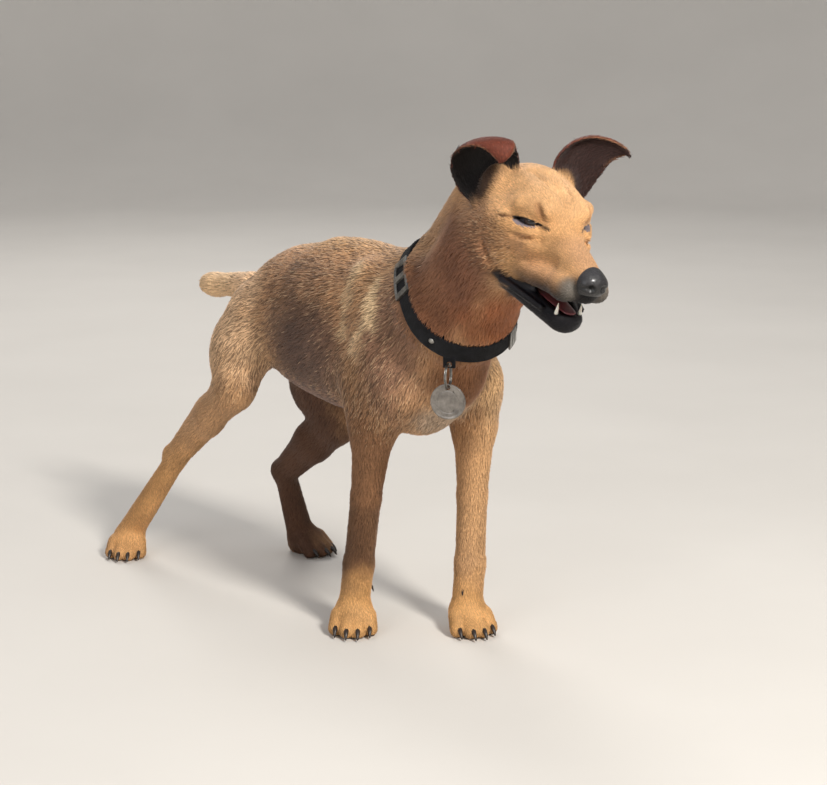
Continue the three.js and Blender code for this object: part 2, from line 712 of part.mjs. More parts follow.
function earShell(side, grow = 0) {
  const rail = (key) => new THREE.CatmullRomCurve3(
    EAR_ROWS[side].map((row) => (key === "bow" ? alongHead : head)(...row[key])));
  const [inner, outer, bow] = ["inner", "outer", "bow"].map(rail);
  const towardsBack = side === "right" ? 1 : -1;
  const at = (u, v) =>
    inner.getPoint(v).lerp(outer.getPoint(v), u).addScaledVector(bow.getPoint(v), 4 * u * (1 - u));
  const rings = [...Array(EAR_RINGS).keys()].map((i) => {
    const v = Math.min(0.985, i / (EAR_RINGS - 1));
    const steps = [...Array(EAR_STEPS).keys()].map((j) => j / (EAR_STEPS - 1));
    const sheet = steps.map((u) => {
      const [uu, vv] = [Math.min(0.98, Math.max(0.02, u)), Math.min(0.97, v)];
      const across = at(uu + 0.02, vv).sub(at(uu - 0.02, vv));
      const along = at(uu, vv + 0.02).sub(at(uu, Math.max(0, vv - 0.02)));
      const normal = along.cross(across).normalize().multiplyScalar(towardsBack);
      const edge = Math.min(1, 4 * Math.min(u, 1 - u) + 0.35);
      const half = (EAR_THICKNESS / 2) * edge * (1 - 0.45 * v) + grow;
      const spread = (u < 0.5 ? -1 : 1) * (Math.abs(u - 0.5) > 0.49 ? grow : 0);
      const point = at(u, v).addScaledVector(across.normalize(), spread);
      return { front: point.clone().addScaledVector(normal, -half), back: point.addScaledVector(normal, half) };
    });
    return [...sheet.map((s) => s.front), ...sheet.reverse().map((s) => s.back)];
  });
  if (grow) {
    const down = mean(rings[0]).sub(mean(rings[1])).normalize().multiplyScalar(grow);
    rings[0].forEach((p) => p.add(down));
  }
  return loft(rings, "sheet");
}

// ---------------------------------------------------------------------------
// Eyes
// ---------------------------------------------------------------------------
function eyeFrame(side) {
  const s = side === "left" ? 1 : -1;
  const out = alongHead(s * 0.86, -0.5, 0.12).normalize();
  const slit = alongHead(s * 0.42, 0.9, -0.12).normalize();
  const up = out.clone().cross(slit).multiplyScalar(s).normalize();
  return new THREE.Matrix4()
    .makeBasis(up.clone().cross(out), up, out)
    .setPosition(head(s * eyePlace.x, eyePlace.y, eyePlace.z));
}

function eyeball(side, grow = 0) {
  const ball = new THREE.IcosahedronGeometry(EYE_RADIUS + grow, 2);
  return solidFromGeometry(ball.applyMatrix4(eyeFrame(side)));
}

// How far the lids' curves are pulled down and up from the line of the slit.
const LID_DROP = 6.5;
const LID_RISE = 5.5;

// The gap between the lids, cut from the ball's front out through the skin.
function lidOpening(side) {
  const half = EYE_SLIT / 2;
  const lens = new THREE.Shape()
    .moveTo(-half, 0)
    .quadraticCurveTo(0, -LID_DROP, half, 0)
    .quadraticCurveTo(0, LID_RISE, -half, 0);
  const prism = new THREE.ExtrudeGeometry(lens, { depth: 16, bevelEnabled: false, curveSegments: 5 });
  return solidFromGeometry(prism.translate(0, 0, 5).applyMatrix4(eyeFrame(side)));
}

// ---------------------------------------------------------------------------
// Teeth and tongue
// ---------------------------------------------------------------------------
const toothCurve = (root, middle, tip) =>
  new THREE.QuadraticBezierCurve3(head(...root), head(...middle), head(...tip));

// The lower canines, the only teeth that the lips leave bare.
const CANINE = { root: [10.5, -50, -70], middle: [12, -53.5, -62], tip: [11.5, -51, -53.8] };
const CANINE_RADII = [2.8, 2.7, 1.8, 0.5]; // from root to tip

function canine(s, grow = 0) {
  const side = ([x, y, z]) => [s * x, y, z];
  const curve = toothCurve(side(CANINE.root), side(CANINE.middle), side(CANINE.tip));
  return horn(curve, CANINE_RADII, grow);
}

// The tongue lies in a shallow bed along the floor of the mouth.
const TONGUE_BACK = 2; // where it starts and ends along the head
const TONGUE_TIP = -57;
const TONGUE_STEPS = 10; // corners round it
const TONGUE_SECTIONS = 5;
const TONGUE_HALF_WIDTH = 11.5;
const TONGUE_TAPER = 5; // how much narrower each half is at the tip
const TONGUE_HALF_HEIGHT = 2.6;
const TONGUE_BED = -62; // height of its middle in the head's frame
const TONGUE_CUP = 1.2; // how far its edges stand over its middle

function tongue(grow = 0) {
  const rings = [...Array(TONGUE_SECTIONS).keys()].map((i) => {
    const t = i / (TONGUE_SECTIONS - 1);
    const halfWidth = TONGUE_HALF_WIDTH - TONGUE_TAPER * t * t + grow;
    const halfHeight = TONGUE_HALF_HEIGHT - t + grow;
    const y = TONGUE_BACK + grow + (TONGUE_TIP - TONGUE_BACK - 2 * grow) * t;
    return [...Array(TONGUE_STEPS).keys()].map((j) => {
      const angle = (2 * Math.PI * j) / TONGUE_STEPS;
      const cup = TONGUE_CUP * Math.cos(angle) ** 2;
      return head(Math.cos(angle) * halfWidth, y, TONGUE_BED + Math.sin(angle) * halfHeight + cup + t / 2);
    });
  });
  return loft(rings);
}

// ---------------------------------------------------------------------------
// Claws
// ---------------------------------------------------------------------------
const CLAW_ROOT_DEPTH = 4; // how deep in the toe it starts
const CLAW_ROOT_HEIGHT = 10.5;
const CLAW_TIP_HEIGHT = 2.2;
const CLAW_TAPER = [1, 0.85, 0.3]; // shares of its radius from root to tip

function claw(place, { out, reach }, grow = 0) {
  const frame = pawFrame(place);
  const at = (x, y, z) => V(x, y, z).applyMatrix4(frame);
  const start = CLAW_ROOT_DEPTH - reach - TOE_RADIUS;
  const curve = new THREE.QuadraticBezierCurve3(
    at(out * 1.06, start, CLAW_ROOT_HEIGHT),
    at(out * 1.09, start - CLAW_LENGTH * 0.65, CLAW_ROOT_HEIGHT - 1),
    at(out * 1.1, start - CLAW_LENGTH, CLAW_TIP_HEIGHT),
  );
  return horn(curve, CLAW_TAPER.map((share) => share * CLAW_RADIUS * place.size), grow);
}

// The dewclaw lies close to the inside of the wrist and points down.
const DEWCLAW_RADII = [2.1, 1.7, 0.5];
const DEWCLAW_DEPTH = 10.5; // its root's distance from the middle of the wrist

function dewclaw(side, grow = 0) {
  const s = side === "left" ? 1 : -1;
  const place = paws["front_" + side];
  const wrist = place.ankle.clone().lerp(place.at, 0.3);
  const start = wrist.clone().add(V(-s * DEWCLAW_DEPTH, -4, 0));
  const curve = new THREE.QuadraticBezierCurve3(
    start,
    start.clone().add(V(-s * 4.5, -2, -2)),
    start.clone().add(V(-s * 4, -3.5, -9)),
  );
  return horn(curve, DEWCLAW_RADII, grow);
}

// ---------------------------------------------------------------------------
// Collar and tag
// ---------------------------------------------------------------------------
const COLLAR_STEPS = 44;
const LUG_ANGLE = THREE.MathUtils.degToRad(-133);

function onCollar(angle, radius, height) {
  const side = radius - COLLAR_FLARE * height;
  const rear = side + COLLAR_REAR * Math.max(0, Math.sin(angle));
  return V(Math.cos(angle) * side, Math.sin(angle) * rear, height).applyMatrix4(collarPlace);
}

// A stretch of strap: a flat band round the neck, from one angle to another.
function band(from, to, steps, radius, thickness, width, grow = 0) {
  const isLoop = to - from > 6.28;
  const count = isLoop ? steps : steps + 1;
  const rings = [...Array(count).keys()].map((i) => {
    const angle = from + ((to - from) * i) / steps;
    const [near, far] = [radius - grow, radius + thickness + grow];
    const [low, high] = [-width / 2 - grow, width / 2 + grow];
    return [[near, low], [far, low], [far, high], [near, high]].map(([r, h]) => onCollar(angle, r, h));
  });
  return loft(rings, isLoop ? "loop" : "round");
}

const strapBand = (grow = 0) =>
  band(0, 2 * Math.PI, COLLAR_STEPS, COLLAR_RADIUS, COLLAR_THICKNESS, COLLAR_WIDTH, grow);

// The place where ring and tag hang: a hole in a small lug under the strap.
const LUG_DROP = 7;
const lugHole = onCollar(LUG_ANGLE, COLLAR_RADIUS + COLLAR_THICKNESS / 2, 1.5 - COLLAR_WIDTH / 2)
  .add(V(0, 0, -LUG_DROP));
const lugOut = onCollar(LUG_ANGLE, 100, 0).sub(onCollar(LUG_ANGLE, 0, 0)).setZ(0).normalize();
const hangFrame = (drop, lean = 0) =>
  new THREE.Matrix4()
    .makeBasis(V(0, 0, 1).cross(lugOut), V(0, 0, 1), lugOut)
    .setPosition(lugHole.clone().add(V(0, 0, -drop)).addScaledVector(lugOut, lean));

const LUG_SIZE = [12, 12, 2.6];
const LUG_RISE = 2.5; // its middle's height over the hole
const LUG_BORE = 2.6;

// The ring rests on the chest, so it leans out from the lug. The tag hangs from
// the ring's lowest point.
const RING_LEAN = 4.5;
const RING_DROP = Math.sqrt(RING_RADIUS ** 2 - RING_LEAN ** 2);
const TAG_HOLE = 2.2;
const TAG_HOLE_INSET = 3.6;

function lugPlate(grow = 0) {
  const plate = new THREE.BoxGeometry(...LUG_SIZE.map((size) => size + 2 * grow));
  return solidFromGeometry(plate.translate(0, LUG_RISE, 0).applyMatrix4(hangFrame(0)));
}

function strap() {
  const hole = new THREE.CylinderGeometry(LUG_BORE, LUG_BORE, 12, 10).rotateX(Math.PI / 2);
  const bore = solidFromGeometry(hole.applyMatrix4(hangFrame(0)));
  return strapBand().add(lugPlate()).subtract(bore);
}

function ring() {
  const torus = new THREE.TorusGeometry(RING_RADIUS, RING_WIRE, 6, 18).rotateY(Math.PI / 2);
  return solidFromGeometry(torus.applyMatrix4(hangFrame(RING_DROP, RING_LEAN)));
}

function tag() {
  const rise = TAG_RADIUS - TAG_HOLE_INSET;
  const frame = hangFrame(RING_DROP + RING_RADIUS + rise, RING_LEAN);
  const disc = new THREE.CylinderGeometry(TAG_RADIUS, TAG_RADIUS, TAG_THICKNESS, 28);
  const hole = new THREE.CylinderGeometry(TAG_HOLE, TAG_HOLE, TAG_THICKNESS * 3, 10);
  const place = (shape, height) =>
    solidFromGeometry(shape.rotateX(Math.PI / 2).translate(0, height, 0).applyMatrix4(frame));
  return place(disc, 0).subtract(place(hole, rise));
}

const PLATES = {
  collar_buckle: { middle: 136, arc: 30, width: 21, thickness: 2.4 },
  collar_adjuster: { middle: -58, arc: 14, width: 21, thickness: 2 },
  collar_rivet: { middle: -156, arc: 6, width: 6, thickness: 1.6 },
};

function collarPlate({ middle, arc, width, thickness }, grow = 0) {
  const half = arc / 2 + THREE.MathUtils.radToDeg(grow / COLLAR_RADIUS);
  const [from, to] = [middle - half, middle + half].map(THREE.MathUtils.degToRad);
  const steps = Math.max(1, Math.round(arc / 8));
  return band(from, to, steps, COLLAR_RADIUS + COLLAR_THICKNESS + GAP, thickness, width, grow);
}

// ---------------------------------------------------------------------------
// Materials and assembly
// ---------------------------------------------------------------------------
const material = (color, roughness, metalness = 0) => () =>
  new THREE.MeshStandardMaterial({ color, roughness, metalness });
const LOOKS = {
  body: material("#94714f", 0.85),
  tan: material("#c8975c", 0.85),
  paw: material("#dcb27a", 0.85),
  ear: material("#4a2a20", 0.85),
  nose: material("#33302f", 0.4),
  claw: material("#1b1715", 0.4),
  eye: material("#1d120c", 0.1),
  tooth: material("#e9e3d2", 0.35),
  tongue: material("#a85f5c", 0.4),
  strap: material("#15161a", 0.7),
  metal: material("#a9a9a6", 0.35, 0.9),
};

const group = new THREE.Group();
function place(name, solid, look) {
  const mesh = new THREE.Mesh(geometryFromSolid(withoutTinyEdges(solid)), LOOKS[look]());
  mesh.name = name;
  group.add(mesh);
}
const SIDES = ["right", "left"];
const less = (solid, cutters) => largestPiece(cutters.reduce((a, b) => a.subtract(b), solid));

// Head, jaw and nose
const eyeSpaces = SIDES.flatMap((side) => [eyeball(side, GAP), lidOpening(side)]);
const earSpaces = SIDES.map((side) => earShell(side, 1.5 * GAP));
const jawSpace = spaceOf([mouthCut, jawEnd], -GAP / 2);
const noseSpace = spaceOf([noseCut, noseFloor], -GAP / 2);
const headBox = around([head(-80, 96, 60), head(80, -100, -110), head(0, 96, -110)], 12);
place("head", less(fleshPart("head", headBox, [headCut]),
  [jawSpace, noseSpace, tongue(GAP), ...eyeSpaces, ...earSpaces]), "tan");
place("nose", fleshPart("nose", around([head(0, -78, -22)], 24), [noseCut, noseFloor]), "nose");
const jawBox = around([head(0, 30, -60), head(0, -68, -70)], 32);
place("lower_jaw", less(fleshPart("lower_jaw", jawBox, [mouthCut, jawEnd]),
  [canine(-1, GAP), canine(1, GAP), tongue(GAP)]), "tan");
place("tongue", tongue(), "tongue");
place("canine_lower_right", canine(-1), "tooth");
place("canine_lower_left", canine(1), "tooth");
for (const side of SIDES) {
  place(`eye_${side}`, eyeball(side), "eye");
  place(`ear_${side}`, earShell(side), "ear");
}

// Neck, trunk and tail
const collarSpaces = [
  strapBand(GAP), lugPlate(GAP), ...Object.values(PLATES).map((size) => collarPlate(size, GAP)),
];
const neckBox = around([V(0, -130, 300), V(0, -290, 480), V(0, -300, 330)], 84);
place("neck", less(fleshPart("neck", neckBox, [opposite(headCut), neckCut]),
  [...collarSpaces, ...earSpaces]), "tan");
const legSpaces = SIDES.flatMap((side) => [foreRegion(side), hindRegion(side)]);
const limbSpaces = [...legSpaces, tailRegion].map((region) => spaceOf(region, -GAP / 2));
const trunkBox = around([V(0, 196, 300), V(0, -220, 290)], 100);
place("trunk", less(fleshPart("trunk", trunkBox, [opposite(neckCut)]),
  [...limbSpaces, ...collarSpaces]), "body");
place("tail", fleshPart("tail", around([tailRoot, tailTip], 32), tailRegion), "tan");

// Legs and paws. A paw starts a little below its wrist or hock.
const WRIST_DROP = 6;
const HOCK_DROP = 12;
for (const side of SIDES) {
  const [el, ca] = [elbow[side], carpus[side]];
  const wristCut = [ca.clone().add(V(0, 0, -WRIST_DROP)), UP];
  const foreBox = around([el.clone().add(V(0, 0, 16)), ca], 44);
  place(`foreleg_${side}`, fleshPart("foreleg", foreBox, [...foreRegion(side), wristCut]), "tan");
  const [st, hk] = [stifle[side], hock[side]];
  const shin = hk.clone().sub(st);
  const kneeCut = [st.clone().lerp(hk, 0.16), shin];
  const hockCut = [hk.clone().add(V(0, 0, -HOCK_DROP)), V(0, 0, -1)];
  const thighBox = around([hip[side], st, V(0, 196, 300)], 56);
  place(`thigh_${side}`, fleshPart("thigh", thighBox,
    [...hindRegion(side), opposite(kneeCut)]), "tan");
  place(`shank_${side}`, fleshPart("shank", around([st, hk], 34),
    [...hindRegion(side), kneeCut, opposite(hockCut)]), "tan");
}
for (const [name, where] of Object.entries(paws)) {
  const side = name.split("_")[1];
  const isFront = name.startsWith("front");
  const top = V(0, 0, where.ankle.z - (isFront ? WRIST_DROP : HOCK_DROP));
  const pawBox = around([where.at, where.ankle], 40);
  const region = [[top, V(0, 0, -1)], [V(0, 0, 0), V(side === "left" ? 1 : -1, 0, 0)]];
  const sockets = TOES.map((toe) => claw(where, toe, GAP));
  if (isFront) sockets.push(dewclaw(side, GAP));
  place(`paw_${name}`, less(fleshPart("paw", pawBox, region), sockets), "paw");
  for (const [i, toe] of TOES.entries()) place(`claw_${name}_${i + 1}`, claw(where, toe), "claw");
  if (isFront) place(`dewclaw_${side}`, dewclaw(side), "claw");
}

// What it wears
place("collar_strap", strap(), "strap");
for (const [name, size] of Object.entries(PLATES)) place(name, collarPlate(size), "metal");
place("tag_ring", ring(), "metal");
place("tag", tag(), "metal");

// The origin is under the middle of the dog, on the floor.
const bounds = new THREE.Box3().setFromObject(group);
const centre = bounds.getCenter(V(0, 0, 0));
group.position.set(-centre.x, -centre.y, -bounds.min.z);

export default group;
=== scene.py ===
"""Looks of the standing dog: one skin in place of the frame's flesh nodes, a short
coat, wet nose, eyes, mouth, claws, collar and tag. Sizes are millimetres in the frame
the dog was designed in, and new_mesh() turns them into metres in the shared frame."""

import math

import bmesh
import bpy
import numpy as np
from mathutils import Matrix, Vector
from mathutils.bvhtree import BVHTree


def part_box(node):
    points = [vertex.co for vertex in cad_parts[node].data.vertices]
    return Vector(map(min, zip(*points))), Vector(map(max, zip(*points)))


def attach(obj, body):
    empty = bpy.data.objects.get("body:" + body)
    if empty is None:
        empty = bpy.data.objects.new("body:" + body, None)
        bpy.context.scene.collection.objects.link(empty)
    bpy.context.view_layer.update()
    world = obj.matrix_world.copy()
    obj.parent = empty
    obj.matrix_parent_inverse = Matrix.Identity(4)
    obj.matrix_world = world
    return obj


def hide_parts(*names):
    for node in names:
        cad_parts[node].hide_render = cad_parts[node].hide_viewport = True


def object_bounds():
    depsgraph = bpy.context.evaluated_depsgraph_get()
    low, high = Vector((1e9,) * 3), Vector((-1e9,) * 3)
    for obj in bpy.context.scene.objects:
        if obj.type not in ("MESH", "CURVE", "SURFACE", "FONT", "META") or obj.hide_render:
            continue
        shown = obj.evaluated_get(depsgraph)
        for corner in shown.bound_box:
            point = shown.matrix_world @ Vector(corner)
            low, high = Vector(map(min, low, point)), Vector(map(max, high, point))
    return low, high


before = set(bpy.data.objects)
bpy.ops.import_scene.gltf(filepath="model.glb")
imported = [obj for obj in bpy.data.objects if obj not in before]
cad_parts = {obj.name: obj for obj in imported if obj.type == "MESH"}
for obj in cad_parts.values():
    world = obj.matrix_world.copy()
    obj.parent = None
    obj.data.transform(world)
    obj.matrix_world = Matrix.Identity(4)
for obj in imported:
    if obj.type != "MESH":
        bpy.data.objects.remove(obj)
cad_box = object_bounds()
rng = np.random.default_rng(11)

# --- Driving dimensions, in millimetres, as the solids have them ---
MM = 0.001
WITHERS = 384  # height of the shoulders
EYE_RADIUS = 10
EYE_SLIT = 25  # length of the gap between the lids
EAR_THICKNESS = 3.4
COLLAR_RADIUS = 50
COLLAR_REAR = 31  # how much further the loop reaches over the nape
COLLAR_FLARE = 0.3  # how much wider the loop is per millimetre down the neck
COLLAR_WIDTH = 19
COLLAR_THICKNESS = 3.2
TAG_RADIUS = 17
TAG_THICKNESS = 1.6
RING_RADIUS = 11
RING_WIRE = 1.3
SOLE = 0.5  # height of the skin's soles over the design floor

BODY_STEP, HEAD_STEP, DETAIL_STEP = 2.5, 1.1, 0.45  # grids of body, head and small parts


def V(*values):
    return np.array(values, float)


def unit(v):
    v = np.asarray(v, float)
    return v / np.maximum(np.linalg.norm(v, axis=-1, keepdims=True), 1e-9)


def ramp(low, high, x):
    """0 below low, 1 above high, smooth between. low may be the greater."""
    t = np.clip((x - low) / (high - low), 0, 1)
    return t * t * (3 - 2 * t)


def mix(a, b, t):
    return a + (b - a) * t


# Joints of the skeleton
SIDES = {"right": -1, "left": 1}
shoulder = {"right": V(-43, -142, 258), "left": V(44, -156, 256)}
elbow = {"right": V(-42, -104, 208), "left": V(54, -142, 206)}
carpus = {"right": V(-46, -84, 68), "left": V(45, -148, 68)}
hip = {"right": V(-32, 128, 284), "left": V(32, 132, 280)}
stifle = {"right": V(-57, 126, 216), "left": V(52, 98, 169)}
hock = {"right": V(-76, 226, 119), "left": V(36, 178, 95)}
tail_root = V(-2, 172, 312)
tail_tip = V(-5, 266, 303)

# Paws: place, turn of the toes in degrees, size, ankle, ankle radius, heel
PAWS = {
    "front_right": (V(-54, -86, 0), 38, 1, carpus["right"], 15.5, 5),
    "front_left": (V(38, -155, 0), 18, 1, carpus["left"], 15.5, 5),
    "hind_right": (V(-108, 284, 0), 40, 0.94, hock["right"], 12.5, 11),
    "hind_left": (V(60, 171, 0), -20, 0.96, hock["left"], 12.5, 11),
}

# --- Frames of head, eyes, paws and collar ---


def about(axis, degrees):
    return np.array(Matrix.Rotation(math.radians(degrees), 3, axis))


HEAD_SCALE = 1.03
HEAD_TURN = about("Z", -11.3) @ about("X", 17.3) @ about("Y", 7.4)
HEAD_AT = V(-2, -333, 434)
EYE_PLACE = V(21, 8, -5)


def head(p):
    return np.asarray(p, float) @ HEAD_TURN.T * HEAD_SCALE + HEAD_AT


def along_head(v):
    return np.asarray(v, float) @ HEAD_TURN.T


def in_head(p):
    return (p - HEAD_AT) @ HEAD_TURN / HEAD_SCALE


class Place:
    """A turned place: its columns are the directions of x, y and z."""

    def __init__(self, x, y, z, at):
        self.turn = np.stack([x, y, z], 1)
        self.at = np.asarray(at, float)

    def out(self, p):
        return np.asarray(p, float) @ self.turn.T + self.at

    def inside(self, p):
        return (p - self.at) @ self.turn


def eye_place(side):
    s = SIDES[side]
    out = unit(along_head(V(s * 0.86, -0.5, 0.12)))
    slit = unit(along_head(V(s * 0.42, 0.9, -0.12)))
    up = unit(np.cross(out, slit) * s)
    return Place(np.cross(up, out), up, out, head(EYE_PLACE * V(s, 1, 1)))


EYES = {side: eye_place(side) for side in SIDES}


def paw_place(name):
    at, turn, size = PAWS[name][:3]
    return Place(*(about("Z", -turn).T * size), at)


collar_axis = unit(V(-0.2, -0.68, 0.7))
collar_turn = np.array(Vector((0, 0, 1)).rotation_difference(Vector(collar_axis)).to_matrix())
COLLAR = Place(*collar_turn.T, V(-4.5, -198, 338))

eye_box = [np.array(corner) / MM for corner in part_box("eye_right")]
SHIFT = (eye_box[0] + eye_box[1]) / 2 - EYES["right"].at


def to_metres(p):
    return (np.asarray(p) + SHIFT) * MM


# --- Masses: each gives a distance, negative inside, and blends into the others ---
FAR = 60.0  # distance where no mass is near
SIDEWAYS = V(1, 0, 0)


class Mass:
    """A distance, how softly it blends, and the ball outside which it has no say."""

    def __init__(self, distance, blend, middle, reach):
        self.distance, self.blend = distance, blend
        self.middle, self.reach = middle, reach * 1.05 + blend + 5


def bone(a, b, ra, rb, blend=12, side=SIDEWAYS, thin=1):
    """A round cone from a to b, its width along side made thin times as great."""
    n = unit(side)

    def stretch(v):
        return v + (v @ n)[..., None] * n * (1 / thin - 1)

    axis = stretch(b - a)

    def distance(p):
        q = stretch(p - a)
        t = np.clip(q @ axis / (axis @ axis), 0, 1)
        return np.linalg.norm(q - t[:, None] * axis, axis=1) - mix(ra, rb, t)

    return Mass(distance, blend, (a + b) / 2, np.linalg.norm(b - a) / 2 + max(ra, rb))


def lump(c, r, blend=12, turn=None):
    """An ellipsoid with the three radii r."""
    turn = np.eye(3) if turn is None else turn

    def distance(p):
        q = (p - c) @ turn / r
        k0 = np.linalg.norm(q, axis=1)
        k1 = np.linalg.norm(q / r, axis=1)
        return np.where(k1 < 1e-9, -min(r), k0 * (k0 - 1) / np.maximum(k1, 1e-9))

    return Mass(distance, blend, c, max(r))


def head_lump(x, y, z, rx, ry, rz, blend=10):
    return lump(head(V(x, y, z)), V(rx, ry, rz) * HEAD_SCALE, blend, HEAD_TURN)


def head_bone(a, b, ra, rb, blend=10, side=SIDEWAYS, thin=1):
    return bone(head(a), head(b), ra * HEAD_SCALE, rb * HEAD_SCALE, blend,
                along_head(side), thin)


def on_both(make):
    """What make(s) gives for the right side, s = -1, and for the left, s = 1."""
    return [mass for s in (-1, 1) for mass in make(s)]


def join(d, e, blend):
    h = np.maximum(blend - np.abs(d - e), 0) / blend
    return np.minimum(d, e) - h * h * blend / 4


def carve(d, e, blend):
    return -join(-d, e, blend)


def close_by(p, middle, reach):
    return ((p - middle) ** 2).sum(1) < reach**2


def worked_in(masses, p, d, operation):
    """The distance at each point after each mass near it is joined or carved."""
    d = d.copy()
    for m in masses:
        near = close_by(p, m.middle, m.reach)
        if near.any():
            d[near] = operation(d[near], m.distance(p[near]), m.blend)
    return d


def joined(masses, p, d=None):
    return worked_in(masses, p, np.full(len(p), FAR) if d is None else d, join)


def carved(masses, p, d):
    return worked_in(masses, p, d, carve)


def trunk_masses():
    return [
        lump(V(0, -30, 292), V(61, 124, 86), 20),  # ribs
        lump(V(0, -122, 284), V(54, 66, 84), 24),  # chest between the shoulders
        lump(V(-3, -170, 282), V(40, 42, 48), 26),  # breastbone's point
        bone(V(0, -112, WITHERS - 18), V(0, 10, WITHERS - 19), 15, 14, 30),
        lump(V(0, 52, 304), V(53, 92, 68), 24),  # loin
        lump(V(0, 48, 262), V(42, 92, 46), 26),  # belly
        lump(V(0, 112, 294), V(46, 52, 50), 24),  # croup
    ] + on_both(lambda s: [lump(V(s * 22, 128, 276), V(25, 28, 38), 20)])


def neck_masses():
    return [
        bone(V(0, -124, 314), V(-5, -192, 338), 61, 52, 24, SIDEWAYS, 0.94),
        bone(V(-5, -192, 338), V(-5, -254, 408), 52, 52, 16, SIDEWAYS, 0.95),
        lump(V(-26, -164, 369), V(19, 19, 19), 16),  # muscle under the strap
        bone(V(-1, -112, 348), V(-5, -222, 444), 15, 25, 20),  # crest
    ]


def tail_masses():
    return [
        bone(tail_root, tail_tip, 17, 12.5, 14),
        lump(tail_tip + V(0, -14, 0), V(14, 22, 13.5), 8),
    ]


def foreleg_masses(side):
    s = SIDES[side]
    sh, el, ca = shoulder[side], elbow[side], carpus[side]
    blade = V(s * 30, sh[1] + 62, 350)
    middle = (el + ca) / 2
    return [
        bone(blade, sh, 18, 26, 24, SIDEWAYS, 0.8),
        bone(sh, el, 25, 24, 20, SIDEWAYS, 0.85),
        lump(el + V(s * 2, 8, 38), V(20, 34, 42), 22),  # triceps
        bone(el + V(s * 2, 20, 8), el + V(0, 8, -12), 9, 13, 12),  # elbow's point
        bone(el, middle, 24, 17, 10, SIDEWAYS, 0.9),
        bone(middle, ca, 17, 15.5, 5, SIDEWAYS, 0.94),
    ]


HIND_ACROSS = {"right": V(0.8, -0.6, 0), "left": V(0.94, 0.34, 0)}


def hindleg_masses(side):
    across = HIND_ACROSS[side]
    hp, st, hk = hip[side], stifle[side], hock[side]
    calf = mix(st, hk, 0.4) + V(0, 4, 0)
    heel = hk + V(0, 10, 3)
    return [
        bone(hp, st, 36, 23, 22, SIDEWAYS, 0.7),
        lump(mix(hp, st, 0.6) + V(0, 20, -2), V(25, 35, 46), 22),  # thigh
        lump(st + V(0, 0, 3), V(16, 16, 17), 14),  # knee
        bone(st, calf, 27, 23, 14, across, 0.68),
        bone(calf, hk, 23, 13.5, 10, across, 0.76),
        bone(calf + V(0, 12, 0), heel, 13, 9, 10),  # tendon
        lump(heel, V(9.5, 10, 11), 8),
    ]


TOES = [(rank * 10.6, 15.5 if abs(rank) > 1 else 24) for rank in (-1.5, -0.5, 0.5, 1.5)]
TOE_RADIUS = 8.3


def paw_masses(name):
    _, _, k, ankle, shank, heel = PAWS[name]
    at = lambda *p: paw_place(name).out(V(*p))
    masses = [
        bone(ankle, at(0, heel, 25), shank, 15.5 * k, 6),
        lump(at(0, 1, 18), V(20, 19, 14) * k, 10),
        bone(at(0, 13, 9), at(0, 4, 6), 12.5 * k, 13 * k, 8),  # main pad
    ]
    for out, reach in TOES:
        knuckle = at(out * 0.9, -reach * 0.35, 18)
        tip = at(out * 1.06, -reach, 7.5)
        masses.append(bone(knuckle, tip, (TOE_RADIUS + 0.6) * k, TOE_RADIUS * k, 3.5))
    return masses


def skull_masses():
    return [
        head_lump(0, 46, -4, 39, 50, 35, 10),  # brain case
        head_lump(0, 14, 2, 27, 27, 24, 16),  # forehead
    ] + on_both(lambda s: [
        head_bone(V(s * 19, -2, 6), V(s * 31, 22, 3), 8, 8, 12),  # brow
        head_bone(V(s * 22, -4, -21), V(s * 36, 38, -15), 12, 12, 14),  # cheekbone
        head_lump(s * 30, 40, -32, 19, 30, 30, 18),  # chewing muscle
        head_lump(s * 35, 63, 6, 13, 14, 19, 14),  # root of the ear
    ]) + [
        head_lump(0, 58, -36, 38, 36, 36, 20),  # throat
        head_bone(V(0, 2, -22), V(0, -62, -30), 24, 17, 14, SIDEWAYS, 0.9),
        head_bone(V(0, -2, -9), V(0, -66, -22), 10.5, 7.5, 12),  # bridge of the nose
    ] + on_both(lambda s: [
        head_bone(V(s * 21, 12, -44), V(s * 12, -58, -38), 13, 10.5, 9),  # upper lip
    ]) + [
        head_lump(0, -74, -25, 14, 10.5, 10.5, 5),  # nose pad
        head_lump(0, -67, -37, 10.5, 10, 9, 6),  # lip below the nose
    ]


def jaw_masses():
    return on_both(lambda s: [
        head_bone(V(s * 23, 28, -62), V(s * 8.5, -50, -69), 12.5, 8.5, 10),
    ]) + [
        head_bone(V(0, 34, -64), V(0, -46, -71), 17, 10, 12),  # floor of the mouth
        head_lump(0, -54, -69, 11, 10, 10, 8),  # chin
    ]


FLESH = (trunk_masses() + neck_masses() + tail_masses()
         + [m for side in ("right", "left") for m in foreleg_masses(side) + hindleg_masses(side)]
         + [m for name in PAWS for m in paw_masses(name)] + skull_masses() + jaw_masses())
MOUTH = [
    head_bone(V(0, 22, -61.5), V(0, -28, -57.8), 0.6, 1.8, 2, SIDEWAYS, 9),
    head_bone(V(0, -28, -57.8), V(0, -92, -53), 1.8, 9.8, 2, SIDEWAYS, 9),
    head_lump(0, -34, -51, 15, 44, 9, 5),  # the palate's arch
    head_bone(V(0, 4, -61.6), V(0, -55, -60.8), 3.6, 2.5, 2, SIDEWAYS, 3.3),  # tongue's bed
    *on_both(lambda s: [head_bone(V(s * 12, -53, -60.5), V(s * 12, -51, -54), 3.0, 3.4, 1.5)]),
]
HOLLOWS = on_both(lambda s: [
    head_lump(s * 31, -12, -6, 7, 11, 7, 7),  # in front of the eye
])

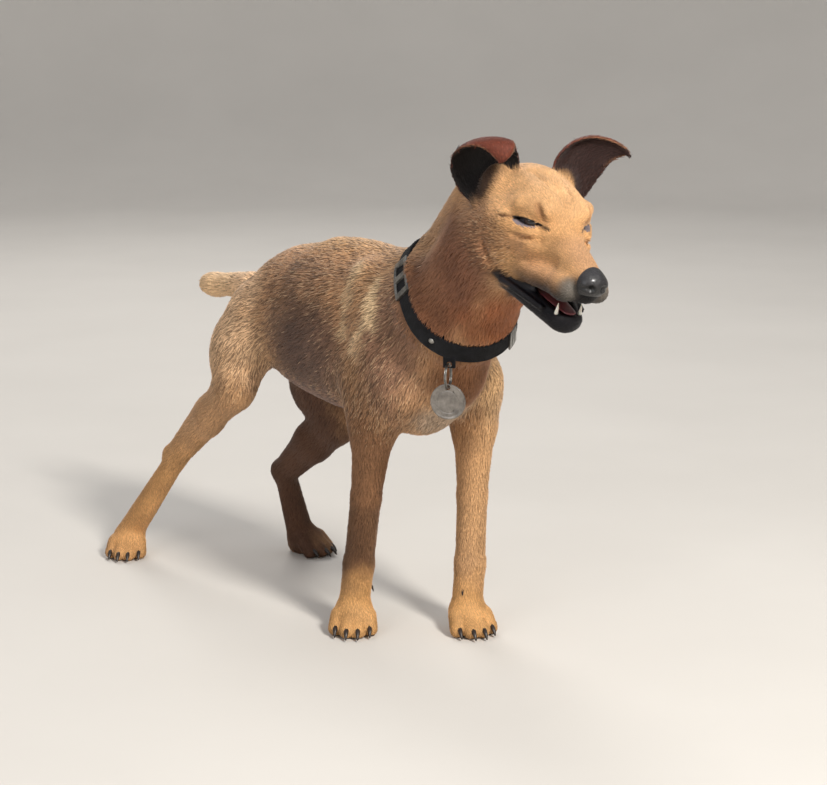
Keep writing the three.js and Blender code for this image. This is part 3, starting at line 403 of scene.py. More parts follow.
# Ridges of the skin that the solids don't have
RIDGES = on_both(lambda s: [
    head_bone(V(s * 17, -1, 8), V(s * 33, 14, 7), 4.8, 5.2, 6),  # brow over the eye
    head_bone(V(s * 26, -3, -15), V(s * 37, 22, -13), 7, 8, 6),  # cheekbone under the eye
    head_lump(s * 16.5, -56, -37, 9.5, 15, 10, 5),  # whisker pad
    head_bone(V(s * 33, 12, -62), V(s * 20, -40, -63.5), 2.6, 2.6, 3),  # lower lip's roll
])
# Folds on the face: rough ends, which are laid on the skin, then width and softness
FOLD_LINES = [
    ((27, -2, 13), (22, -10, 2), 0.9, 1.3, 6),  # frown beside the eye
    ((34, 12, -5), (45, 21, -8), 1.3, 0.8, 3),  # crease behind the eye
    ((36, 20, -54), (43, 34, -36), 2.0, 1.0, 8),  # behind the mouth's corner
    ((23, -15, -13), (36, 4, -18), 1.2, 1.0, 6),  # bag under the lower lid
    ((23, -36, -22), (33, -14, -34), 1.5, 1.5, 10),  # beside the muzzle
    ((5, -4, 19), (12, 40, 30), 1.4, 0.8, 9),  # over the brow
]


# --- Ears: thin cupped leaves ---

# Rows from root to tip: inner edge, outer edge and how the sheet bows between
EAR_ROWS = {
    "right": [
        ((-20, 54, 22), (-47, 58, -17), (2, 9, -2)),
        ((-23, 56, 34), (-59, 80, -7), (2, 13, 2)),
        ((-29, 56, 43), (-69, 85, 14), (2, 12, 3)),
        ((-34, 52, 48), (-69, 74, 31), (0, 6, 3)),
        ((-37, 42, 47), (-62, 54, 40), (0, -2, 5)),
        ((-43, 38, 39), (-53, 43, 36), (0, -3, 2)),
        ((-47, 40, 33), (-49, 41, 33), (0, 0, 0)),
    ],
    "left": [
        ((17, 58, 20), (45, 50, -8), (-1, 9, -2)),
        ((21, 62, 35), (54, 50, 12), (-1, 14, 2)),
        ((34, 64, 49), (60, 48, 30), (-2, 13, 3)),
        ((49, 59, 57), (65, 46, 41), (-2, 8, 4)),
        ((61, 48, 59), (70, 41, 48), (0, 3, 3)),
        ((71, 39, 57), (72, 37, 51), (0, 0, 1)),
        ((74, 33, 53), (73, 33, 52), (0, 0, 0)),
    ],
}
EAR_CELLS = 56


def curve_through(points, t):
    """A centripetal Catmull-Rom curve through the points, at each t from 0 to 1."""
    p = np.vstack([2 * points[0] - points[1], points, 2 * points[-1] - points[-2]])
    at = np.clip(np.asarray(t) * (len(points) - 1), 0, len(points) - 1 - 1e-9)
    i = at.astype(int)
    w = (at - i)[:, None]
    p0, p1, p2, p3 = (p[i + k] for k in range(4))
    span = lambda a, b: np.maximum(np.sum((a - b) ** 2, 1, keepdims=True) ** 0.25, 1e-4)
    d0, d1, d2 = span(p0, p1), span(p1, p2), span(p2, p3)
    t1 = ((p1 - p0) / d0 - (p2 - p0) / (d0 + d1) + (p2 - p1) / d1) * d1
    t2 = ((p2 - p1) / d1 - (p3 - p1) / (d1 + d2) + (p3 - p2) / d2) * d1
    return p1 + w * (t1 + w * (-3 * p1 + 3 * p2 - 2 * t1 - t2 + w * (2 * p1 - 2 * p2 + t1 + t2)))


class Ear:
    """The middle sheet of one ear, with its thickness and the lie of its hair."""

    def __init__(self, side):
        rows = EAR_ROWS[side]
        v = np.linspace(0, 0.985, EAR_CELLS)
        inner, outer = (curve_through(head([row[k] for row in rows]), v) for k in (0, 1))
        bow = curve_through(along_head([row[2] for row in rows]), v)
        u = np.linspace(0, 1, EAR_CELLS)[None, :, None]
        sheet = mix(inner[:, None], outer[:, None], u) + bow[:, None] * 4 * u * (1 - u)
        self.grid = sheet
        edge = np.minimum(1, 4 * np.minimum(u, 1 - u) + 0.4)[..., 0]
        half = EAR_THICKNESS / 2 * edge * (1 - 0.45 * v[:, None])
        n = EAR_CELLS
        cell = (np.arange(n - 1)[:, None] * n + np.arange(n - 1)).reshape(-1)
        self.faces = np.stack([cell, cell + 1, cell + n + 1, cell + n], 1)
        points = sheet.reshape(-1, 3)
        self.tree = BVHTree.FromPolygons(points.tolist(), self.faces.tolist())
        self.half = half.reshape(-1)[self.faces].mean(1)
        p0, p1, p2, p3 = (points[self.faces[:, k]] for k in range(4))
        self.lie = unit(p3 + p2 - p0 - p1)
        self.back = unit(np.cross(self.lie, p1 - p0)) * SIDES[side]
        self.u = ((cell % n) + 0.5) / n
        self.v = ((cell // n) + 0.5) / n
        low, high = points.min(0), points.max(0)
        middle, reach = (low + high) / 2, np.linalg.norm(high - low) / 2
        self.mass = Mass(self.distance, 5, middle, reach)

    def nearest(self, p):
        """Face index and distance of the sheet's nearest place, for each point."""
        found = [self.tree.find_nearest(q) for q in p.tolist()]
        return np.array([f[2] for f in found]), np.array([f[3] for f in found])

    def distance(self, p):
        face, gap = self.nearest(p)
        return gap - self.half[face]


EARS = {side: Ear(side) for side in SIDES}

# --- The skin's field ---


def coat_depth(p):
    """How deep the coat is: most on the body, least on face, feet and by the strap."""
    body = mix(1.0, 3.0, ramp(30, 200, p[:, 2]))
    to_strap = np.abs((p - COLLAR.at) @ collar_axis)
    body = mix(0.5, body, ramp(COLLAR_WIDTH * 0.6, COLLAR_WIDTH * 1.3, to_strap))
    h = in_head(p)
    face = ramp(96, 40, np.linalg.norm(h - V(0, -8, -24), axis=1))
    return mix(body, mix(1.3, 0.9, ramp(10, -40, h[:, 1])), face)


COLLAR_NEAR = 110  # the whole strap is nearer than this to the collar's middle


def collar_reach(p):
    """Height over the collar's middle plane, and how far out from the strap's inside."""
    q = COLLAR.inside(p)
    angle = np.arctan2(q[:, 1], q[:, 0])
    around = np.linspace(-math.pi, math.pi, 721)
    x = np.cos(around) * COLLAR_RADIUS
    y = np.sin(around) * (COLLAR_RADIUS + COLLAR_REAR * np.maximum(0, np.sin(around)))
    seen = np.arctan2(y, x)
    seen[0], seen[-1] = -math.pi, math.pi
    order = np.argsort(seen)
    inside = np.interp(angle, seen[order], np.hypot(x, y)[order]) - COLLAR_FLARE * q[:, 2]
    return q[:, 2], np.hypot(q[:, 0], q[:, 1]) - inside


def pinch(p, d):
    """The strap presses the neck in a little."""
    near = close_by(p, COLLAR.at, COLLAR_NEAR)
    height, out = collar_reach(p[near])
    strap = np.maximum(np.abs(height) - COLLAR_WIDTH / 2 - 0.5,
                       np.maximum(-out - 0.6, out - COLLAR_THICKNESS - 3))
    d[near] = carve(d[near], strap, 4)
    return d


LID_DROP = 7  # height of the gap between the lids, below the slit's line
LID_RISE = 3.6  # and above it
LID_THICKNESS = 1.3
RIM_RADIUS = 0.9  # of the rolled edge of a lid


def lid_gap(q):
    """Distance from the gap between the lids, in the eye's own frame."""
    half = EYE_SLIT / 2
    share = 1 - (q[:, 0] / half) ** 2
    return np.maximum(q[:, 1] - LID_RISE / 2 * share, -LID_DROP / 2 * share - q[:, 1])


def lids(p, d):
    """Swells the skin into lids over each ball and opens the gap between them."""
    for eye in EYES.values():
        near = close_by(p, eye.at, EYE_RADIUS + 14)
        q = eye.inside(p[near])
        r = np.linalg.norm(q, axis=1)
        edge = lid_gap(q)
        lid = r - EYE_RADIUS - LID_THICKNESS
        lined = join(d[near], np.maximum(lid, 2 - q[:, 2]), 5)
        rim = np.abs(np.hypot(edge - RIM_RADIUS, lid - 0.2)) - RIM_RADIUS
        lined = join(lined, np.maximum(rim, 4 - q[:, 2]), 1.5)
        gap = np.maximum(np.maximum(edge, EYE_RADIUS - 1 - r), 5 - q[:, 2])
        d[near] = carve(lined, gap, 0.6)
    return d


NOSE_CUT = (head(V(0, -71.5, -22)), along_head(unit(V(0, -0.97, 0.25))))
NOSE_FLOOR = (head(V(0, -78, -33)), along_head(unit(V(0, 0.2, 1))))


def beyond(plane, p):
    return (p - plane[0]) @ plane[1]


def nose_share(p):
    """How far a point lies inside the nose's leather."""
    return np.minimum(beyond(NOSE_CUT, p), beyond(NOSE_FLOOR, p))


def body_skin(p):
    d = joined(FLESH, p) + coat_depth(p)
    return np.maximum(pinch(p, d), SOLE - p[:, 2])


def plain_head(p):
    """The head's skin before its folds and openings."""
    d = joined(FLESH, p)
    d = carved(HOLLOWS, p, d) + coat_depth(p) + ramp(0, 1.5, nose_share(p)) * 0.8
    return joined(RIDGES, p, d)


def fold(a, b, ra, rb, blend):
    """A groove along the face from one rough place to another."""
    ends = settled(plain_head, head(V(a, b)), 12, 4)
    return bone(ends[0], ends[1], ra, rb, blend)


def head_flesh(p):
    return carved(FOLDS, p, plain_head(p))


def head_skin(p):
    d = carved(MOUTH, p, head_flesh(p))
    d = joined([ear.mass for ear in EARS.values()], p, d)
    return pinch(p, lids(p, d))


def nose_skin(p):
    d = carved(MOUTH, p, joined(FLESH, p) + 0.1)
    return carved(NOSTRILS, p, d)


NOSTRILS = on_both(lambda s: [
    head_lump(s * 6.4, -85, -25.5, 4.0, 5.0, 3.6, 1.6),
    head_bone(V(s * 7.5, -84, -25.5), V(s * 14.5, -77, -27.5), 2.0, 1.1, 1.6),
]) + [head_bone(V(0, -87, -23), V(0, -82, -40), 0.6, 1.2, 2)]


# --- From a field to a surface ---
BLOCK = 4


def sampled(field, low, high, step):
    """The field on a grid, worked out only in the blocks near its surface."""
    size = step * BLOCK
    count = np.ceil((high - low) / size).astype(int)
    index = np.indices(count).reshape(3, -1).T
    middle = low + (index * BLOCK + (BLOCK - 1) / 2) * step
    d = field(middle)
    values = np.where(d < 0, -1.0, 1.0).astype(np.float32).reshape(count)
    for axis in range(3):
        values = np.repeat(values, BLOCK, axis)
    blocks = values.reshape(count[0], BLOCK, count[1], BLOCK, count[2], BLOCK)
    near = np.abs(d) < size * 1.45
    inner = np.indices((BLOCK,) * 3).reshape(3, -1).T * step
    at = low + index[near][:, None] * size + inner
    exact = field(at.reshape(-1, 3)).reshape(-1, BLOCK, BLOCK, BLOCK)
    i, j, k = index[near].T
    blocks[i, :, j, :, k, :] = exact
    return values


def surface_of(field, low, high, step):
    """Surface nets: one point in each crossed cell, one quad on each crossed edge."""
    values = sampled(field, low, high, step)
    stride = np.array([values.shape[1] * values.shape[2], values.shape[2], 1])
    inside = values < 0
    cells, places, signs = [], [], []
    for axis in range(3):
        first = [slice(1, -1)] * 3
        second = list(first)
        second[axis] = slice(2, None)
        here, there = inside[tuple(first)], inside[tuple(second)]
        at = np.argwhere(here != there) + 1
        a = values[tuple(at.T)]
        step_on = np.eye(3, dtype=int)[axis]
        b = values[tuple((at + step_on).T)]
        crossing = at + step_on * (a / (a - b))[:, None]
        u, w = stride[(axis + 1) % 3], stride[(axis + 2) % 3]
        base = at @ stride
        cells.append(np.stack([base, base - u, base - u - w, base - w], 1))
        places.append(crossing)
        signs.append(a >= 0)
    cells, places, signs = (np.concatenate(x) for x in (cells, places, signs))
    corner = np.unique(cells.reshape(-1), return_inverse=True)[1]
    shares = np.bincount(corner)
    each = np.repeat(places, 4, axis=0)
    points = np.stack([np.bincount(corner, each[:, k]) / shares for k in range(3)], 1)
    quads = corner.reshape(-1, 4)
    quads[signs] = quads[signs][:, ::-1]
    return points * step + low, quads


def slope(field, p, e=0.2):
    return np.stack([(field(p + e * axis) - field(p - e * axis)) / (2 * e)
                     for axis in np.eye(3)], 1)


def settled(field, p, reach, turns=2):
    """Points moved on to the field's surface, each by reach at the most."""
    start = p
    for _ in range(turns):
        g = slope(field, p)
        p = p - g * (field(p) / np.maximum((g * g).sum(1), 0.3))[:, None]
    move = p - start
    length = np.linalg.norm(move, axis=1, keepdims=True)
    return start + move * np.minimum(1, reach / np.maximum(length, 1e-9))


FOLDS = [fold(V(*a) * V(s, 1, 1), V(*b) * V(s, 1, 1), *size)
         for a, b, *size in FOLD_LINES for s in (-1, 1)]
FOLDS += [
    fold((0, -8, 14), (0, 36, 33), 2.0, 1.4, 9),  # middle of the forehead
    head_bone(V(0, -81, -36), V(0, -77, -48), 0.9, 1.1, 3),  # cleft of the upper lip
]


def cut_off(field, plane, keep):
    """The field on one side of a plane, and a little beyond it."""
    return lambda p: np.maximum(field(p), -beyond(plane, p) - keep)


# --- Markings, painted light and painted shade: named patches of colour on a tan ground ---


def colour(code):
    """Linear colour of an sRGB code such as "c08b56"."""
    c = np.array([int(code[i:i + 2], 16) for i in (0, 2, 4)]) / 255
    return np.where(c < 0.04045, c / 12.92, ((c + 0.055) / 1.055) ** 2.4)


def ripple(p, size, seed):
    """Smooth uneven values about 0, mostly from -1 to 1, with lumps of that size."""
    waves = np.random.default_rng(seed).normal(size=(7, 3)) * 1.6 / size
    phases = np.random.default_rng(seed + 1).uniform(0, 2 * math.pi, 7)
    return np.sin(p @ waves.T + phases).sum(1) / 2.6


GROUND = colour("c0946a")
SABLE_TIP = colour("33261d")
FAWN = colour("d3b18a")

# Each patch: frame, middle, radii, colour, softness of its edge, strength.
# "sides" and "head" patches are on both sides, the others where they stand.
PATCHES = [
    ("sides", V(0, 0, 330), V(76, 128, 80), "cc986a", 0.4, 1),  # saddle
    ("sides", V(54, 4, 280), V(42, 72, 74), "5f4436", 0.75, 1),  # dark flank
    ("right", V(-62, -38, 284), V(16, 36, 40), "7a5a48", 0.6, 0.8),  # lighter flank
    ("sides", V(54, -150, 300), V(34, 36, 70), "8f6a52", 0.5, 0.97),  # shoulder
    ("sides", V(0, 30, 386), V(26, 150, 18), "d0a068", 0.6, 0.8),  # along the back
    ("sides", V(0, 150, 280), V(80, 74, 84), "eec49a", 0.3, 1),  # rump and thigh: pale tan, lightened further as painted light
    ("sides", V(0, 44, 220), V(50, 94, 30), "84655a", 0.4, 0.92),  # belly
    ("sides", V(8, -172, 226), V(24, 30, 26), "c4ab92", 0.5, 0.9),  # pale chest
    ("sides", V(0, -208, 275), V(46, 26, 50), "8d5c3b", 0.5, 0.9),  # breast
    ("left", V(50, -180, 250), V(24, 32, 44), "d5ac7d", 0.5, 0.8),
    ("sides", V(46, -220, 380), V(34, 54, 66), "73492f", 0.4, 1),  # neck
    ("right", V(-54, -220, 400), V(18, 34, 34), "96684a", 0.6, 0.85),  # below the cheek
    ("sides", V(0, -262, 335), V(42, 36, 40), "9c5d37", 0.5, 0.95),  # throat
    ("sides", V(0, -170, 412), V(36, 76, 38), "b58c66", 0.5, 0.85),  # nape
    ("right", V(-54, -104, 180), V(34, 50, 80), "8a6141", 0.5, 0.95),  # near foreleg
    ("right", V(-54, -88, 90), V(30, 36, 50), "62432c", 0.7, 0.95),
    ("left", V(34, -156, 190), V(13, 34, 56), "8e5f39", 0.5, 0.85),  # inside of the far one, darkened as painted shade
    ("left", V(60, -160, 150), V(34, 34, 90), "cfa172", 0.5, 0.8),
    ("left", V(44, 145, 120), V(52, 92, 142), "573a2a", 0.25, 0.97),  # far hind leg and its paw: painted shadow of the body over their brown
    ("sides", V(0, -120, 12), V(160, 90, 50), "d3a066", 0.3, 0.95),  # forefeet
    ("right", V(-90, 240, 60), V(70, 100, 90), "cf9b63", 0.4, 0.9),  # near hind foot
    ("sides", V(0, 240, 300), V(30, 60, 40), "f8cf9f", 0.5, 0.95),  # tail: orange tan, lightened further as painted light
    ("head", V(0, 10, -10), V(62, 75, 62), "cf9d69", 0.3, 1),  # face
    ("head", V(0, 22, 26), V(44, 44, 26), "dcad7c", 0.5, 0.9),  # forehead
    ("head", V(44, 34, 4), V(18, 20, 16), "f0bb84", 0.6, 0.85),  # temple
    ("head", V(46, 40, -38), V(22, 28, 30), "9a6f4f", 0.5, 0.9),  # cheek
    ("head", V(44, 52, -66), V(26, 30, 34), "7d5139", 0.5, 0.95),  # jaw's corner
    ("head", V(34, 6, -26), V(16, 22, 10), "c8966a", 0.6, 0.8),  # below the eye
    ("head", V(0, -44, -14), V(12, 40, 12), "c99a72", 0.6, 0.8),  # bridge of the nose
    ("head", V(22, -30, -38), V(12, 30, 13), "dfa878", 0.6, 0.8),  # side of the muzzle
    ("head", V(21, -36, -50), V(15, 38, 12), "4e3a2b", 0.7, 1),  # grey over the lip
    ("head", V(14, -60, -44), V(16, 22, 13), "2c2421", 0.6, 1),
    ("head", V(0, -72, -41), V(28, 20, 17), "1b1717", 0.3, 1),  # dark front of the lip
    ("head", V(0, -28, -72), V(52, 58, 24), "0f0d13", 0.1, 1),  # black lower jaw
    ("head", V(16, -66, -34), V(8, 9, 9), "6e675e", 0.6, 0.9),  # grey beside the nose
    ("head", V(0, -80, -26), V(15, 10, 13), "0b0a0c", 0.2, 1),  # under the nose: painted shade behind the nostrils
    ("head", V(34, 12, -60), V(9, 12, 6), "221715", 0.5, 1),  # mouth's corner
    ("head", V(44, 62, 8), V(16, 11, 20), "33211a", 0.45, 0.95),  # root of the ear
]
# Fawn streaks behind each shoulder: ends, width, colour, strength
STREAKS = [
    ((36, -80, 372), (60, -78, 302), 7, "e6c498", 0.8),
    ((46, -116, 364), (61, -127, 322), 9, "fad8a8", 0.9),
    ((61, -127, 322), (64, -104, 288), 7, "ecc99d", 0.9),
]
# Strokes on the face, in the head's frame. Those along the folds are painted shade in the creases.
STROKES = [
    ((33, 12, -5), (46, 22, -8), 1.9, "5d3d26", 0.85),  # painted shade in the crease behind the eye
    ((23, -7, -3), (17, -13, -4), 1.6, "2b1a11", 0.9),  # in front of the eye
    ((27, -2, 13), (22, -10, 1), 3.6, "8a5a33", 0.75),  # painted shade in the frown beside the eye
    # the frown's darker core, also painted shade
    ((26, -4, 10), (22, -9, 2), 1.6, "4d2e1b", 0.8),
    ((36, 2, -16), (24, -14, -13), 2.2, "a87a55", 0.6),  # painted shade in the fold under the lower lid
    ((0, -6, 16), (0, 36, 33), 1.8, "a87850", 0.5),  # painted shade in the groove down the middle of the forehead
    ((23, -36, -22), (33, -14, -34), 3.0, "a3764f", 0.5),  # painted shade in the fold beside the muzzle
    ((48, 30, -30), (42, 10, -34), 2.4, "7c563b", 0.5),  # cheek's mottling
    ((52, 44, -26), (50, 36, -44), 2.6, "7c563b", 0.5),
    ((40, 2, -32), (36, -4, -40), 1.8, "7c563b", 0.45),
]
EAR_OUTSIDE = colour("6b3424")
# The ears' insides are painted dark as shade in their hollows, the right one darkest.
EAR_INSIDE_SHADE = {"right": colour("17110f"), "left": colour("2d1a16")}
EAR_RIM = colour("8c6449")
LIP = colour("131015")
# The mouth's lining: its own dark red deepened almost to black as painted shade inside the mouth.
LINING = colour("2c1214")
LID_RIM = colour("1a120f")
# The lower lid's wet edge is painted pale grey-lilac: a painted reflection.
LOWER_LID_REFLECTION = colour("857b80")
PAD = colour("2a2421")


def line_gap(p, a, b):
    """Distance of each point from the line between two places."""
    line = V(*b) - V(*a)
    t = np.clip((p - a) @ line / (line @ line), 0, 1)
    return np.linalg.norm(p - a - t[:, None] * line, axis=1)


def painted(p):
    """The coat's colour at each point, with painted light and shade in places, and how sable it
    is.
    """
    h = in_head(p)
    rgb = np.tile(GROUND, (len(p), 1))
    for place, middle, radii, code, soft, strength in PATCHES:
        q = np.array(h if place == "head" else p)
        if place in ("head", "sides"):
            q[:, 0] = np.abs(q[:, 0])
        d = np.linalg.norm((q - middle) / radii, axis=1)
        d = d + 0.09 * ripple(p, 26, 3) + 0.05 * ripple(p, 9, 5)
        rgb = mix(rgb, colour(code), (ramp(1 + soft, 1 - soft, d) * strength)[:, None])
    for strokes, places in ((STREAKS, p + 5 * ripple(p, 12, 41)[:, None]), (STROKES, h)):
        mirrored = np.concatenate([np.abs(places[:, :1]), places[:, 1:]], 1)
        for a, b, width, code, strength in strokes:
            share = ramp(width * 1.7, width * 0.4, line_gap(mirrored, a, b)) * strength
            rgb = mix(rgb, colour(code), share[:, None])
    sable = ramp(190, 240, p[:, 2]) * ramp(-205, -130, p[:, 1]) * ramp(230, 150, p[:, 1])
    cheek = ramp(34, 16, np.linalg.norm((h - V(0, 30, -32)) * V(0, 1, 1), axis=1))
    sable = np.maximum(sable, 0.9 * cheek * (np.abs(h[:, 0]) > 26))
    return rgb * (1 + 0.10 * ripple(p, 14, 8))[:, None], sable


def ear_paint(p, n, rgb):
    """The ears' colour outside, painted shade inside their hollows, and which points lie on an
    ear.
    """
    on_ear = np.zeros(len(p))
    for side, ear in EARS.items():
        near = np.nonzero(close_by(p, ear.mass.middle, ear.mass.reach))[0]
        face, gap = ear.nearest(p[near])
        share = ramp(5, 2.5, gap) * ramp(-0.03, 0.07, ear.v[face])
        inner = ramp(0.2, -0.2, (n[near] * ear.back[face]).sum(1))
        edge = ramp(0.07, 0.0, np.minimum(ear.u[face], 1 - ear.u[face]))
        edge = edge * ramp(0.3, 0.6, ear.v[face])
        # the inner face takes the dark painted shade
        own = mix(EAR_OUTSIDE, EAR_INSIDE_SHADE[side], inner[:, None])
        own = mix(own, EAR_RIM, (edge * 0.8)[:, None])
        rgb[near] = mix(rgb[near], own, share[:, None])
        on_ear[near] = np.maximum(on_ear[near], share)
    return on_ear


def lip_share(p):
    """(share of black lip, share of the mouth's lining)."""
    h = in_head(p)
    to_mouth = np.minimum(MOUTH[0].distance(p), MOUTH[1].distance(p))
    depth = head_flesh(p)
    near = ramp(62, 56, np.abs(h[:, 1] + 28))
    lip = ramp(4.6, 2.2, to_mouth + 0.8 * ripple(p, 9, 31)) * near
    # inside the mouth, painted very dark as shade
    lining = ramp(-0.5, -2.5, depth) * ramp(14, 8, np.abs(to_mouth)) * near
    return lip, lining


def lid_share(p):
    """How near each point is to the edge of a lid, and how far it is on the lower one."""
    share, lower = np.zeros(len(p)), np.zeros(len(p))
    for eye in EYES.values():
        q = eye.inside(p)
        out = np.maximum(lid_gap(q), (np.abs(q[:, 0]) - EYE_SLIT / 2) * 0.5)
        front = (q[:, 2] > 3) & (np.linalg.norm(q, axis=1) < 20)
        under = ramp(-0.8, -2.0, q[:, 1]) * front
        reach = mix(1.7, 3.0, under)
        share = np.maximum(share, ramp(reach, reach * 0.5, out) * front)
        lower = np.maximum(lower, under)
    return share, lower


# --- The lie of the coat ---


class Lie:
    """Near the line from a to b, the coat runs in a direction and has a length."""

    def __init__(self, region, a, b, way, reach, length):
        self.region, self.a, self.b = region, V(*a), V(*b)
        self.way, self.reach, self.length = unit(V(*way)), reach, length


def both(region, a, b, way, reach, length):
    """The same lie on either side. Those of the head are given in its own frame."""
    made = []
    for side, s in SIDES.items():
        start, end, run = (V(*v) * V(s, 1, 1) for v in (a, b, way))
        if region == "head":
            start, end, run = head(start), head(end), along_head(run)
        made.append(Lie(f"{region}_{side}", start, end, run, reach, length))
    return made


def leg_lies():
    made = []
    for side in SIDES:
        el, ca, st, hk = elbow[side], carpus[side], stifle[side], hock[side]
        fore, hind = f"foreleg_{side}", f"hindleg_{side}"
        made += [
            Lie(fore, el, ca, ca - el + V(0, 22, 0), 24, 6.5),
            Lie(fore, ca, PAWS["front_" + side][0] + V(0, 0, 30), (0, -0.1, -1), 18, 4.5),
            Lie(hind, mix(hip[side], st, 0.4), st, (0, 0.45, -0.9), 34, 10),
            Lie(hind, st, hk, hk - st, 24, 7.5),
            Lie(hind, hk, PAWS["hind_" + side][0] + V(0, 0, 30), (0, -0.1, -1), 18, 5),
        ]
    for name in PAWS:
        paw = paw_place(name)
        region = ("foreleg_" if "front" in name else "hindleg_") + name.split("_")[1]
        toes = paw.turn @ V(0, -1, -0.55)
        made.append(Lie(region, paw.out(V(0, 6, 14)), paw.out(V(0, -24, 10)), toes, 17, 3.4))
    return made


LIES = (
    both("back", (14, -110, 370), (14, 150, 335), (0.1, 1, -0.12), 26, 12)
    + both("fore", (54, -140, 330), (58, -30, 310), (0, 0.9, -0.6), 34, 12)
    + both("fore", (54, -150, 270), (50, -80, 240), (0, 0.45, -0.9), 30, 10)
    + both("rear", (56, 0, 300), (50, 110, 300), (0, 1, -0.55), 36, 12)
    + both("rear", (40, 150, 300), (36, 170, 260), (0.1, 0.5, -0.9), 30, 13)
    + both("rear", (20, -40, 208), (20, 110, 222), (0, 1, -0.25), 26, 11)
    + both("fore", (14, -205, 300), (12, -165, 225), (0.15, 0.35, -1), 28, 11)
    + both("neck", (12, -262, 338), (10, -212, 300), (0.1, 0.35, -1), 30, 9)
    + both("neck", (50, -236, 392), (56, -165, 320), (0.05, 0.62, -0.75), 34, 11)
    + both("neck", (12, -205, 450), (12, -120, 378), (0.12, 0.85, -0.5), 30, 12)
    + [Lie("tail", tail_root, tail_tip, tail_tip - tail_root, 20, 12)]
    + leg_lies()
    + both("head", (6, -64, -14), (6, -4, 2), (0.1, 1, 0.3), 13, 2.4)
    + both("head", (8, 10, 22), (14, 60, 30), (0.25, 1, 0.1), 22, 3.6)
    + both("head", (20, 0, 10), (32, 18, 8), (0.5, 0.9, 0.35), 10, 2.6)
    + both("head", (30, -6, -16), (40, 40, -16), (0.25, 1, -0.1), 17, 4.2)
    + both("head", (17, -64, -34), (27, 0, -38), (0.2, 1, -0.3), 14, 2.6)
    + both("head", (34, 26, -44), (44, 56, -44), (0.2, 1, -0.55), 20, 6.5)
    + both("head", (10, -52, -74), (20, 20, -76), (0.15, 1, -0.25), 13, 3)
    + both("head", (14, 40, -78), (20, 62, -84), (0.1, 0.8, -0.6), 22, 7)
)
EAR_HAIR = 4.6  # length of the hair on the ears


def lie_at(p):
    """Direction, length and strongest lie of the coat at each point."""
    weights = []
    for lie in LIES:
        gap = line_gap(p, lie.a, lie.b) / lie.reach
        weights.append(1 / (0.15 + gap * gap) ** 3)
    w = np.stack(weights, 1)
    strongest = w.argmax(1)
    w /= w.sum(1, keepdims=True)
    return (unit(w @ np.stack([lie.way for lie in LIES])), w @ [lie.length for lie in LIES],
            strongest)


# --- Meshes ---


def new_mesh(name, points, faces):
    """A smooth mesh in metres from points in millimetres and faces of one size."""
    faces = np.asarray(faces)
    mesh = bpy.data.meshes.new(name)
    mesh.vertices.add(len(points))
    mesh.vertices.foreach_set("co", to_metres(points).astype(np.float32).ravel())
    mesh.loops.add(faces.size)
    mesh.loops.foreach_set("vertex_index", faces.astype(np.int32).ravel())
    mesh.polygons.add(len(faces))
    starts = np.arange(0, faces.size, faces.shape[1], dtype=np.int32)
    mesh.polygons.foreach_set("loop_start", starts)
    mesh.update(calc_edges=True)
    mesh.polygons.foreach_set("use_smooth", np.full(len(faces), True))
    return mesh


def in_scene(name, data):
    made = bpy.data.objects.new(name, data)
    bpy.context.scene.collection.objects.link(made)
    return made


def piece(mesh, material, replaces=()):
    """Adds the mesh to the scene as a piece on the dog."""
    made = in_scene(mesh.name, mesh)
    mesh.materials.append(material)
    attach(made, "root")
    if replaces:
        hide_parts(*replaces)
    return made


def give(mesh, name, values):
    """A named value or colour on each point of the mesh."""
    values = np.asarray(values, np.float32)
    if values.ndim == 1:
        mesh.attributes.new(name, "FLOAT", "POINT").data.foreach_set("value", values)
    else:
        rgba = np.concatenate([values, np.ones((len(values), 1), np.float32)], 1)
        mesh.attributes.new(name, "FLOAT_COLOR", "POINT").data.foreach_set("color", rgba.ravel())


def read(mesh, what):
    values = np.zeros(len(mesh.vertices) * 3, np.float32)
    mesh.vertices.foreach_get(what, values)
    return values.reshape(-1, 3).astype(float)


def points_of(mesh):
    """The mesh's points in millimetres, in the design frame."""
    return read(mesh, "co") / MM - SHIFT


def edit(mesh, change):
    """Opens the mesh for a change of its faces."""
    bm = bmesh.new()
    bm.from_mesh(mesh)
    bm.verts.ensure_lookup_table()
    change(bm)
    bm.to_mesh(mesh)
    bm.free()


def face_out(mesh):
    edit(mesh, lambda bm: bmesh.ops.recalc_face_normals(bm, faces=bm.faces))


def close_poles(mesh, rings, around):
    """Fills the two small rings at the ends of a lathed shape."""

    def fill(bm):
        for first, turn in ((0, 1), ((rings - 1) * around, -1)):
            bm.faces.new([bm.verts[first + i] for i in range(around)][::turn])
        bmesh.ops.recalc_face_normals(bm, faces=bm.faces)

    edit(mesh, fill)


def field_piece(name, field, low, high, step, material, replaces=()):
    """A piece with the surface of a field."""
    points, quads = surface_of(field, V(*low), V(*high), step)
    points = settled(field, points, step * 0.45)
    return piece(new_mesh(name, points, quads), material, replaces)


def loop_faces(rings, around, closed):
    """Quads between rings of points, round each ring and from ring to ring."""
    i = np.arange(rings if closed else rings - 1)[:, None]
    j = np.arange(around)[None, :]
    a, b = i * around + j, i * around + (j + 1) % around
    c, d = ((i + 1) % rings) * around + (j + 1) % around, ((i + 1) % rings) * around + j
    return np.stack([a, b, c, d], -1).reshape(-1, 4)


# --- Materials ---


